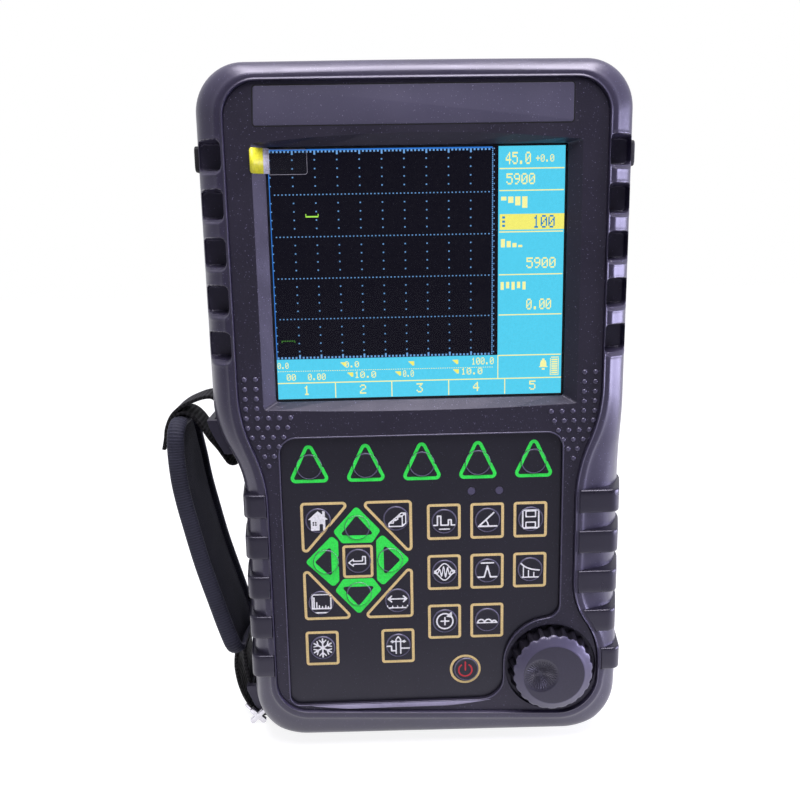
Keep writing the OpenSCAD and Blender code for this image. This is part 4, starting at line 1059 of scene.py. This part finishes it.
def build_dots():
    """Raised dots of the two grip fields, as low domes over their solids, in a lighter tone that is a painted
    highlight.
    """
    rows = [(math.sin(a) * DOT_R, math.cos(a) * DOT_RISE) for a in np.linspace(math.pi / 2, 0.16, 6)]
    dome = ring_faces(len(rows), DOT_N) + [end_face(len(rows) - 1, DOT_N)]
    points, faces = [], []
    for side in (-1, 1):
        for i, (count, shift, spread) in enumerate(DOT_LINES):
            for j in range(count):
                x = side * (DOT_X - (shift + j * spread) * DOT_PITCH_X)
                faces += moved_faces(dome, len(points))
                points += lathe(rows, DOT_N, (x, FACE_Y, DOT_TOP - i * DOT_PITCH_Z))
    settle(add_mesh("face_dots", points, faces, "dot_plastic", 50), "case", "face_panel")


def build_bead():
    """Rounded edge round the keypad recess, in a lighter tone that is a painted highlight."""
    outline = rounded(inset(FILM_CORNERS, -BEAD_OUT), 10)
    n = len(outline)
    points = []
    for i in range(n):
        d = unit(outline[(i + 1) % n] - outline[i - 1])
        out = np.array((d[1], -d[0]))
        for k in range(BEAD_N):
            a = 2 * math.pi * k / BEAD_N
            q = outline[i] + out * BEAD_R * math.cos(a)
            points.append((q[0], FACE_Y + 0.05 + BEAD_R * math.sin(a), q[1]))
    bead = add_mesh("recess_bead", points, ring_faces(n, BEAD_N, True), "recess_edge", 80)
    settle(bead, "case", "face_panel")


def build_recess_lip():
    """Lit slope below the keypad recess, widest in its middle, whose pale tone is a painted highlight."""
    points, faces = [], []
    for k in range(LIP_STEPS + 1):
        t = k / LIP_STEPS
        x = LIP_ENDS[0] + t * (LIP_ENDS[1] - LIP_ENDS[0])
        w = LIP_WIDE * min(1.0, math.sin(math.pi * t) * 1.5) ** 0.8 + 0.05
        rows = ((-0.1, 0), (0.1 * w, 0.1 * w), (0.42 * w, 0.85 * w), (0.42 * w, w), (-0.1, 1.05 * w))
        points += [(x, FACE_Y - out, LIP_TOP - down) for out, down in rows]
        if k < LIP_STEPS:
            faces += [(5 * k + i, 5 * k + i + 1, 5 * k + i + 6, 5 * k + i + 5) for i in range(4)]
    settle(add_mesh("recess_lip", points, faces, "recess_slope", 60), "case", "face_panel")


def build_plate():
    """Name plate, left bare, with a dark line where it meets its recess: a painted shadow in the gap."""
    points = []
    for grow, lift in PLATE_ROWS:
        points += [(x, FACE_Y - lift, z) for x, z in rounded(inset(PLATE_CORNERS, -grow), 6)]
    last = len(PLATE_ROWS) - 1
    n = len(points) // len(PLATE_ROWS)
    faces = ring_faces(len(PLATE_ROWS), n) + [end_face(last, n)]
    plate = add_mesh("plate", points, faces, "plate_plastic", 40)
    # The second ring of faces takes the dark tone: painted shadow in the gap round the plate.
    dress(plate, "plate_plastic", "face_plastic", "print_dark")
    for i, f in enumerate(plate.data.polygons[:2 * n]):
        f.material_index = 1 if i < n else 2
    settle(plate, "case", "name_plate", "name_plate")


# Knob

KNOB_AT = (50.2, -32.75, 35.5)
KNOB_H = 8.8
# Radius and height of the side, the rounded edge and the flat top
KNOB_ROWS = [(16.4, 0.0), (16.9, 0.12), (17.0, 0.4), (16.7, 2.0), (16.3, 3.8), (15.9, 5.6), (15.72, 6.35),
             (15.5, 6.75), (15.0, 7.1), (14.2, 7.56), (13.3, 8.08), (12.5, 8.55), (12.25, 8.72), (11.95, 8.8)]
KNOB_ROWS += [(r, KNOB_H) for r in np.linspace(11.7, 0.05, 44)]
KNOB_N = 264
KNOB_TEETH = 22
# Rows of faces on the side, and on the side and the rounded edge together
KNOB_SIDE_ROWS = 6
KNOB_EDGE_ROWS = 13
SCALLOP_R = 1.6
SCALLOP_C = 16.7
SCALLOP_TOP = 7.6
DIMPLE_FROM = 8.0
DIMPLE_X = -5.0
DIMPLE_R = 14.0
DIMPLE_DEPTH = 1.8
GROOVES = 34


def build_knob():
    """Dial with a scalloped skirt and a round dimple off the middle of its top."""
    pitch = 2 * math.pi / KNOB_TEETH
    dimple_top = KNOB_H + DIMPLE_R - DIMPLE_DEPTH
    points = []
    for r, h in KNOB_ROWS:
        for k in range(KNOB_N):
            a = 2 * math.pi * k / KNOB_N
            off = (a + pitch / 2) % pitch - pitch / 2
            half = SCALLOP_C * math.sin(off)
            reach, level = r, h
            if abs(half) < SCALLOP_R and h < SCALLOP_TOP:
                reach = min(r, SCALLOP_C * math.cos(off) - math.sqrt(SCALLOP_R ** 2 - half ** 2))
            x, z = reach * math.cos(a), reach * math.sin(a)
            far = math.hypot(x - DIMPLE_X, z)
            if h > DIMPLE_FROM and far < DIMPLE_R:
                level = min(h, dimple_top - math.sqrt(DIMPLE_R ** 2 - far ** 2))
            points.append((x + KNOB_AT[0], KNOB_AT[1] - level, z + KNOB_AT[2]))
    faces = ring_faces(len(KNOB_ROWS), KNOB_N)
    knob = add_mesh("knob_turned", points, faces, "knob_plastic", 32, at=KNOB_AT)
    # The rounded edge takes a lighter plastic: a painted highlight.
    dress(knob, "knob_plastic", "knob_side_plastic", "knob_ring_plastic")
    for i, f in enumerate(knob.data.polygons[:KNOB_EDGE_ROWS * KNOB_N]):
        f.material_index = 1 if i < KNOB_SIDE_ROWS * KNOB_N else 2
    settle(knob, "dial", "knob", "knob")


# Lit picture, with places and sizes as shares of its width and height

VIEW_X = -53.3
VIEW_TOP = 235.7
VIEW_W = 106.6
VIEW_H = 90.4
LAYER_GAP = 0.02
DIGITS = {
    "0": "01110100011001110101110011000101110", "1": "00100011000010000100001000010001110",
    "2": "01110100010000100110010001000011111", "3": "11111000100010000010000011000101110",
    "4": "00010001100101010010111110001000010", "5": "11111100001111000001000011000101110",
    "6": "00110010001000011110100011000101110", "7": "11111000010001000100010000100001000",
    "8": "01110100011000101110100011000101110", "9": "01110100011000101111000010001001100",
    ".": "00000000000000000000000000110001100", "+": "00000001000010011111001000010000000"}
DIGIT_ROWS = 7
DIGIT_COLS = 5
GRID_LEFT, GRID_RIGHT, GRID_TOP, GRID_LOW = 0.0034, 0.752, 0.006, 0.832
GRID_ROWS = [0.1725, 0.337, 0.5025, 0.6665]
COLUMN_TEXTS = [
    ("45.0", 0.798, 0.023, 0.883, 0.070), ("+0.0", 0.900, 0.034, 0.962, 0.062),
    ("5900", 0.8005, 0.105, 0.898, 0.148), ("5900", 0.872, 0.437, 0.973, 0.480),
    ("0.00", 0.873, 0.604, 0.960, 0.648)]
STATUS_TEXTS = [
    ("0.0", 0.002, 0.847, 0.040, 0.872), ("0.0", 0.236, 0.847, 0.286, 0.872),
    ("100.0", 0.682, 0.843, 0.760, 0.872), ("00", 0.032, 0.895, 0.064, 0.922),
    ("0.00", 0.106, 0.895, 0.168, 0.922), ("10.0", 0.270, 0.890, 0.345, 0.917),
    ("0.0", 0.440, 0.890, 0.478, 0.917), ("10.0", 0.645, 0.886, 0.720, 0.913)]
STATUS_MARKS = [(0.222, 0.850), (0.615, 0.850), (0.245, 0.893), (0.413, 0.893), (0.617, 0.890),
                (0.460, 0.852)]


class Picture:
    """Flat rectangles by colour and layer."""

    def __init__(self):
        self.quads = {}

    def rect(self, colour, u0, v0, u1, v1, layer=1):
        self.quads.setdefault((colour, layer), []).append((u0, v0, u1, v1))

    def mark(self, colour, u, v, w, h, layer=1):
        self.rect(colour, u, v, u + w, v + h, layer)

    def text(self, text, u0, v0, u1, v1, colour="pale"):
        """Text of dots that fills a box, with one column of dots between its characters."""
        pitch = DIGIT_COLS + 1
        du, dv = (u1 - u0) / (len(text) * pitch - 1), (v1 - v0) / DIGIT_ROWS
        for i, c in enumerate(text):
            for k, dot in enumerate(DIGITS[c]):
                col, row = i * pitch + k % DIGIT_COLS, k // DIGIT_COLS
                if dot == "1":
                    self.rect(colour, u0 + col * du, v0 + row * dv,
                              u0 + (col + 1) * du, v0 + (row + 1) * dv, 2)

    def build(self):
        for (colour, layer), quads in self.quads.items():
            points = []
            for u0, v0, u1, v1 in quads:
                for u, v in ((u0, v0), (u0, v1), (u1, v1), (u1, v0)):
                    points.append((VIEW_X + u * VIEW_W, PICTURE_Y - LAYER_GAP * layer, VIEW_TOP - v * VIEW_H))
            faces = [end_face(i, 4) for i in range(len(quads))]
            piece = add_mesh(f"picture_{colour}_{layer}", points, faces, f"picture_{colour}")
            settle(piece, "case", "display")


def draw_grid(pic):
    """Screen with its dotted grid, the ruled edges and the two gates."""
    left, right, top, low = GRID_LEFT, GRID_RIGHT, GRID_TOP, GRID_LOW
    pic.rect("screen", 0, 0, 0.7735, 0.834, 0)
    col = (right - left) / 10
    fine = col / 6
    levels = [top] + GRID_ROWS + [low]
    fifths = [a + (b - a) * k / 5 for a, b in zip(levels, levels[1:]) for k in range(1, 5)]
    for v in GRID_ROWS:
        for k in range(1, 60):
            pic.mark("grid", left + fine * k, v, 0.0044, 0.0045)
    for i in range(1, 10):
        for v in fifths:
            pic.mark("grid", left + col * i, v, 0.0046, 0.0052)
    for k in range(60):
        u = left + fine * k
        tall = 0.016 if k % 6 == 0 and k else 0.008
        pic.mark("grid", u, top, 0.0062, tall)
        pic.rect("grid", u, low - tall, u + 0.0062, low)
    pic.rect("rule", 0, 0.001, 0.754, 0.007)
    pic.rect("rule", 0, 0.001, 0.0030, 0.834)
    for v in fifths:
        pic.rect("grid", 0.003, v, 0.007, v + 0.0045)
    for k in range(110):
        v = top + (low - top) * k / 110
        pic.mark("grid", right, v, 0.0036, 0.0048)
        if k % 3 == 0:
            pic.rect("grid", right + 0.0055, v, right + 0.0088, v + 0.0045)
    pic.rect("gate", 0.119, 0.258, 0.162, 0.2635)
    for u in (0.119, 0.1605):
        pic.rect("gate", u, 0.250, u + 0.0025, 0.258)
    for k in range(8):
        pic.rect("faint_gate", 0.020 + 0.006 * k, 0.7555, 0.0235 + 0.006 * k, 0.7600)
    for u in (0.020, 0.0645):
        pic.rect("faint_gate", u, 0.7600, u + 0.0025, 0.765)


def draw_column(pic):
    """Column of values on the right, with small bars between them."""
    pic.rect("cyan", 0.7735, 0, 1, 0.934, 0)
    pic.rect("cyan", 0, 0.834, 0.7735, 0.934, 0)
    for v in (0.084, 0.169, 0.3315, 0.5024, 0.666, 0.834):
        pic.rect("pale", 0.777, v, 0.997, v + 0.0045)
    pic.rect("yellow", 0.779, 0.2635, 1, 0.3257)
    pic.text("100", 0.893, 0.2695, 0.9675, 0.3197, "deep")
    for k in range(3):
        pic.rect("deep", 0.787, 0.272 + 0.0165 * k, 0.797, 0.281 + 0.0165 * k, 2)
    for values in COLUMN_TEXTS:
        pic.text(*values)
    for k in range(4):
        pic.rect("pale", 0.783 + 0.024 * k, 0.195, 0.801 + 0.024 * k, 0.2 + 0.01 * (k + 1))
        pic.rect("pale", 0.783 + 0.02 * k, 0.362 + 0.008 * k, 0.797 + 0.02 * k, 0.395)
    for k in range(5):
        pic.rect("pale", 0.783 + 0.019 * k, 0.534, 0.794 + 0.019 * k, 0.566 - 0.006 * (k % 2))


def draw_icons(pic):
    """Bell, battery, and the rule to the left of them."""
    pic.rect("pale", 0.7735, 0.834, 0.7765, 0.934)
    for half, v, tall in ((0.004, 0.853, 0.008), (0.009, 0.861, 0.008), (0.011, 0.869, 0.008),
                          (0.011, 0.877, 0.008), (0.015, 0.885, 0.004)):
        pic.rect("pale", 0.936 - half, v, 0.936 + half, v + tall)
    pic.rect("pale", 0.931, 0.893, 0.941, 0.900)
    pic.rect("pale", 0.963, 0.846, 0.990, 0.850)
    for u in (0.960, 0.988):
        pic.rect("pale", u, 0.852, u + 0.0025, 0.922)
    pic.rect("pale", 0.960, 0.920, 0.9905, 0.923)
    for k in range(7):
        pic.rect("pale", 0.965, 0.855 + 0.0092 * k, 0.986, 0.861 + 0.0092 * k)


def draw_status(pic):
    """Lines of small values below the screen, and the numbers over the five keys."""
    for k in range(96):
        pic.rect("pale", 0.002 + 0.0079 * k, 0.8825, 0.002 + 0.0079 * k + 0.0045, 0.8850)
    for values in STATUS_TEXTS:
        pic.text(*values)
    for u, v in STATUS_MARKS:
        for k in range(4):
            pic.rect("yellow", u + 0.004 * k, v + 0.0045 * k, u + 0.020, v + 0.0045 * (k + 1))
    pic.rect("cyan", 0, 0.934, 1, 1, 0)
    pic.rect("pale", 0, 0.931, 1, 0.9355)
    for u in (0.1996, 0.398, 0.599, 0.798):
        pic.rect("pale", u, 0.9355, u + 0.0035, 0.998)
    for i, u in enumerate((0.03, 0.228, 0.428, 0.628, 0.828)):
        middle = u + 0.07
        pic.text(str(i + 1), middle - 0.011, 0.945, middle + 0.011, 0.984)


def build_picture():
    pic = Picture()
    for draw in (draw_grid, draw_column, draw_icons, draw_status):
        draw(pic)
    pic.build()


# Peel tab of the window's film

TAB_SPAN = (227.2, 236.0)
TAB_TRIMS = (0.9, 0.35, 0.1)
TAB_PATH = [(-58.9, -34.95), (-57.6, -34.3), (-56.4, -33.0), (-55.2, -31.9), (-54.6, -31.35)]
FOLD_PATH = [(-54.6, -31.35), (-54.0, -30.9), (-53.3, -30.62), (-52.6, -30.5)]
PEEL_MIDDLE, PEEL_HALF, PEEL_R = (-46.2, 231.2), (7.0, 4.4), 0.9
PEEL_LOW, PEEL_HIGH = (-54, 226), (-39, 236)
PEEL_LINE = 0.22


def lay_strip(name, path, look, trims=()):
    """Strip with thickness that follows a path across the face, its first corners trimmed."""
    points = []
    for i, (x, y) in enumerate(path):
        trim = trims[i] if i < len(trims) else 0.0
        points += [(x, y, TAB_SPAN[0] + trim), (x, y, TAB_SPAN[1] - trim)]
    faces = [(2 * i, 2 * i + 1, 2 * i + 3, 2 * i + 2) for i in range(len(path) - 1)]
    strip = add_mesh(name, points, faces, look, 40)
    thicken(strip, 0.12)
    settle(strip, "case", "film")


def build_peel_tab():
    """Yellow tab folded onto the slope of the frame, and the clear film that it belongs to."""
    lay_strip("peel_tab", spline(TAB_PATH, 4), "tab_yellow", TAB_TRIMS)
    # The fold is clear film drawn whitish: a painted highlight.
    lay_strip("peel_fold", spline(FOLD_PATH, 4), "tab_fold")

    def sheet(p):
        return box_field(p, PEEL_MIDDLE, PEEL_HALF, PEEL_R)

    def rim(p):
        return outline_band(sheet(p), PEEL_LINE)

    # The film's rim is drawn as a pale line: a painted highlight on its edge.
    for name, field, step, y, look, replaced in (
            ("peel_film", sheet, 0.5, GLASS_Y - 0.12, "peel_film", ["window_film"]),
            ("peel_film_edge", rim, PEEL_LINE, GLASS_Y - 0.16, "film_edge", [])):
        flat, faces = fill_field(field, PEEL_LOW, PEEL_HIGH, step)
        piece = add_mesh(name, [(x, y, z) for x, z in flat], faces, look, 40)
        settle(piece, "case", "film", *replaced)


# Strap, whose routes are shares of STRAP_REACH out of the case, and shares of the height

LUG_Y = 1.8
STRAP_X = -80
STRAP_REACH = 16
WAIST_TOP = 135
PAD_LOW = 33.6
PAD_HIGH = 134.5
PAD_LEAN = 2.6
PAD_W = 36.0
PAD_T = 5.6
PAD_END = 1.5
PAD_SEAM = 1.2
PAD_COLS, PAD_ROWS = 14, 44
PUFF_CAP = 1.1
PUFF_FRAMES = 20
CLOTH = {"quality": 6, "mass": 0.15, "tension_stiffness": 25, "compression_stiffness": 25,
         "bending_stiffness": 2.0, "use_pressure": True, "uniform_pressure_force": 4.0,
         "vertex_group_mass": "held"}
BINDING_W = 1.9
BINDING_T = 0.5
BINDING_N = 12
BINDING_TURN = 256
BINDING_BEND = 6.0
BINDING_STEPS = [48, 12, 48, 12]
WEB_W = 17.0
WEB_T = 1.5
# Half section of the webbing, in shares of its half width and thickness
WEB_EDGE = [(-1, 0), (-0.985, 0.7), (-0.93, 1.0), (-0.85, 0.92), (-0.5, 0.9), (0, 0.9), (0.5, 0.9),
            (0.85, 0.92), (0.93, 1.0), (0.985, 0.7), (1, 0)]
PAD_ROUTE = [(0.98, 1), (1.03, 0.89), (1.0, 0.773), (0.92, 0.68), (0.8, 0.584), (0.56, 0.41),
             (0.27, 0.242), (0.05, 0.12), (-0.2, 0)]
UPPER_ROUTE = [(1.25, -0.75), (1.23, -0.35), (1.1, 0.0), (0.86, 0.06), (0.64, -0.08), (0.45, -0.34),
               (0.27, -0.62), (0.08, -0.86), (-0.07, -1.09), (-0.19, -1.25), (-0.34, -1.26), (-0.42, -1.14),
               (-0.33, -0.93), (-0.2, -0.68), (-0.05, -0.33), (-0.02, 0.0), (0.02, 0.25), (0.13, 0.44),
               (0.35, 0.46), (0.62, 0.38), (0.92, 0.24), (1.18, 0.02), (1.33, -0.3), (1.38, -0.6),
               (1.44, -0.86)]
LOWER_ROUTE = [(-0.1, 2.04), (-0.05, 1.7), (-0.05, 1.4), (-0.11, 1.0), (-0.24, 0.6), (-0.45, 0.26),
               (-0.66, 0.12), (-0.88, 0.155), (-0.985, 0.3), (-0.72, 0.58), (-0.48, 0.92), (-0.35, 1.3),
               (-0.31, 1.7), (-0.3, 2.04)]
# Place, turn, length, width, front and back of the clasp's two arms and the pin
BLADES = (((-70.3, 3.95), 45, 8.6, 2.4, -11.3, -9.7), ((-70.3, 3.95), -45, 8.6, 2.4, -11.25, -9.75),
          ((-73.5, 6.8), -50, 6.0, 1.3, -10.6, -9.9))


def strap_path(route, low, high, n):
    return spline([(STRAP_X - s * STRAP_REACH, low + t * (high - low)) for s, t in route], n)


def side_of(path, i):
    d = unit(path[min(i + 1, len(path) - 1)] - path[max(i - 1, 0)])
    return np.array((-d[1], d[0]))


def path_lengths(path):
    out = [0.0]
    for a, b in zip(path, path[1:]):
        out.append(out[-1] + float(np.linalg.norm(b - a)))
    return out


def build_webbing(name, route, base, node, wobble):
    """Flat woven strap with thick edges that follows its route."""
    path = strap_path(route, base, base + STRAP_REACH, 5)
    lengths = path_lengths(path)
    w, t = WEB_W / 2, WEB_T / 2
    section = WEB_EDGE + [(u, -v) for u, v in WEB_EDGE[-2:0:-1]]
    points, uv = [], []
    for i, p in enumerate(path):
        n = side_of(path, i)
        for u, v in section:
            lean = wobble * math.sin(lengths[i] * 0.11 + u)
            q = p + n * (v * t + lean * 0.25)
            points.append((q[0], LUG_Y + u * w + lean, q[1]))
            uv.append((u * w, lengths[i]))
    k = len(section)
    faces = ring_faces(len(path), k) + [end_face(0, k)[::-1], end_face(len(path) - 1, k)]
    settle(add_mesh(name, points, faces, "strap_webbing", 50, uv), "case", "webbing", node)


def pad_frame(path, lengths, s):
    """Place and outward side of the pad's middle line at a length along it."""
    s = min(max(s, 0.0), lengths[-1])
    i = min(int(np.searchsorted(lengths, s, side="right")) - 1, len(path) - 2)
    t = (s - lengths[i]) / (lengths[i + 1] - lengths[i])
    at = path[i] + (path[i + 1] - path[i]) * t
    n = unit(side_of(path, i) * (1 - t) + side_of(path, i + 1) * t)
    return at, n


def pad_lean(along, across):
    """How far the rear half of the pad leans towards the case."""
    return PAD_LEAN * float(smooth(across, 0, 1)) * float(smooth(along, 0, 0.25))


def pad_core_mesh(path, lengths):
    """Crowned closed form of the pad: two faces that meet at the bound edge, and the points of that edge."""
    points, faces = [], []
    cols, rows = PAD_COLS, PAD_ROWS
    for face in (1, -1):
        for i in range(rows + 1):
            a = i / rows
            at, n = pad_frame(path, lengths, PAD_END + a * (lengths[-1] - 2 * PAD_END))
            end = min(1.0, math.sin(math.pi * a) * 3.2)
            for j in range(cols + 1):
                b = j / cols * 2 - 1
                width = (PAD_W / 2 - PAD_SEAM) * (0.86 + 0.14 * end)
                crown = (1 - abs(b) ** 3) * min(1.0, end + 0.12)
                q = at + n * (face * (0.35 + crown * (PAD_T / 2 - 0.45)))
                points.append((q[0] + pad_lean(a, b), LUG_Y + b * width, q[1]))
    stride = (rows + 1) * (cols + 1)
    for f in (0, 1):
        for i in range(rows):
            for j in range(cols):
                a = f * stride + i * (cols + 1) + j
                quad = (a, a + 1, a + cols + 2, a + cols + 1)
                faces.append(quad if f else quad[::-1])
    ring = [i * (cols + 1) for i in range(rows + 1)]
    ring += [rows * (cols + 1) + j for j in range(1, cols + 1)]
    ring += [i * (cols + 1) + cols for i in range(rows - 1, -1, -1)]
    ring += list(range(cols - 1, 0, -1))
    for a, b in zip(ring, ring[1:] + ring[:1]):
        faces.append((a, b, b + stride, a + stride))
    return points, faces, ring + [r + stride for r in ring]


def puff(piece, rim):
    """Cloth under gentle pressure, with the bound rim held, and no point moved further than PUFF_CAP."""
    rest = np.array([v.co for v in piece.data.vertices])
    piece.vertex_groups.new(name="held").add(rim, 1.0, "REPLACE")
    cloth = piece.modifiers.new("cloth", "CLOTH")
    for name, value in CLOTH.items():
        setattr(cloth.settings, name, value)
    cloth.settings.effector_weights.gravity = 0
    scene = bpy.context.scene
    for f in range(1, PUFF_FRAMES + 1):
        scene.frame_set(f)
    shaped = piece.evaluated_get(bpy.context.evaluated_depsgraph_get())
    now = np.array([v.co for v in shaped.data.vertices])
    piece.modifiers.remove(cloth)
    scene.frame_set(1)
    move = now - rest
    far = np.linalg.norm(move, axis=1)
    share = np.minimum(1.0, PUFF_CAP * MM / np.maximum(far, 1e-9))
    for v, q in zip(piece.data.vertices, rest + move * share[:, None]):
        v.co = q
    piece.data.update()


def build_pad():
    path = strap_path(PAD_ROUTE, PAD_LOW, PAD_HIGH, 8)
    lengths = path_lengths(path)
    points, faces, rim = pad_core_mesh(path, lengths)
    core = add_mesh("strap_pad_core", points, faces, "strap_felt", 80)
    puff(core, rim)
    soften = core.modifiers.new("soften", "SUBSURF")
    soften.levels = soften.render_levels = 1
    settle(core, "case", "strap", "strap_pad")
    build_binding(path, lengths)


def build_binding(path, lengths):
    """Ribbed tape folded over the edge of the pad."""
    near, far, half = 1.6, lengths[-1] - 1.6, PAD_W / 2 - 2.0
    corners = [(near, -half), (far, -half), (far, half), (near, half)]
    loop = rounded([(s, y, BINDING_BEND) for s, y in corners], 6, BINDING_STEPS)
    n, k = len(loop), BINDING_N + 1
    turns = [math.radians(-BINDING_TURN / 2 + BINDING_TURN * c / BINDING_N) for c in range(k)]
    run = path_lengths(list(loop) + [loop[0]])
    points, uv, faces = [], [], []
    for i, (s, y) in enumerate(loop):
        j = (i + 1) % n
        d = unit(loop[j] - loop[i - 1])
        out = np.array((d[1], -d[0]))
        for c, a in enumerate(turns):
            reach, rise = BINDING_W * math.cos(a) - 0.1, (PAD_T / 2 + 0.35) * math.sin(a)
            at, normal = pad_frame(path, lengths, s + out[0] * reach)
            q = at + normal * rise
            lean = pad_lean(s / lengths[-1], y * 2 / PAD_W)
            points.append((q[0] + lean, LUG_Y + y + out[1] * reach, q[1]))
            uv.append((c * 1.1, run[i]))
        faces += [(i * k + c, j * k + c, j * k + c + 1, i * k + c + 1) for c in range(k - 1)]
    piece = add_mesh("strap_binding", points, faces, "strap_binding", 60, uv)
    thicken(piece, BINDING_T)
    settle(piece, "case", "strap")


def build_clasp():
    """Stamped cross with rounded, raised arms, and the bright pin beside it."""
    points, faces = [], []
    for at, turn, length, width, front, back in BLADES:
        outline = rounded(box_corners(length / 2, width / 2, width * 0.42), 5)
        n = len(outline)
        faces += moved_faces(ring_faces(4, n) + [end_face(3, n), end_face(0, n)[::-1]], len(points))
        c, s = math.cos(math.radians(turn)), math.sin(math.radians(turn))
        for y, pull in ((back, 1.0), (front + 0.35, 1.0), (front + 0.1, 0.94), (front, 0.84)):
            for x, z in outline * (1 - (1 - pull) * 0.35, pull):
                points.append((at[0] + x * c - z * s, y, at[1] + x * s + z * c))
    settle(add_mesh("clasp_cross", points, faces, "clasp_steel", 35), "case", "clasp", "strap_clasp")


def build():
    bpy.context.scene.view_settings.view_transform = "Standard"
    add_camera()
    add_world()
    add_floor()
    for name, values in LAMPS.items():
        add_lamp(name, *values)
    make_materials()
    build_bumper()
    build_keys()
    build_dots()
    build_bead()
    build_recess_lip()
    build_plate()
    build_knob()
    build_picture()
    build_peel_tab()
    build_webbing("upper_web", UPPER_ROUTE, WAIST_TOP, "upper_webbing", 0.25)
    build_webbing("lower_web", LOWER_ROUTE, 0, "lower_webbing", 0.2)
    build_pad()
    build_clasp()


build()
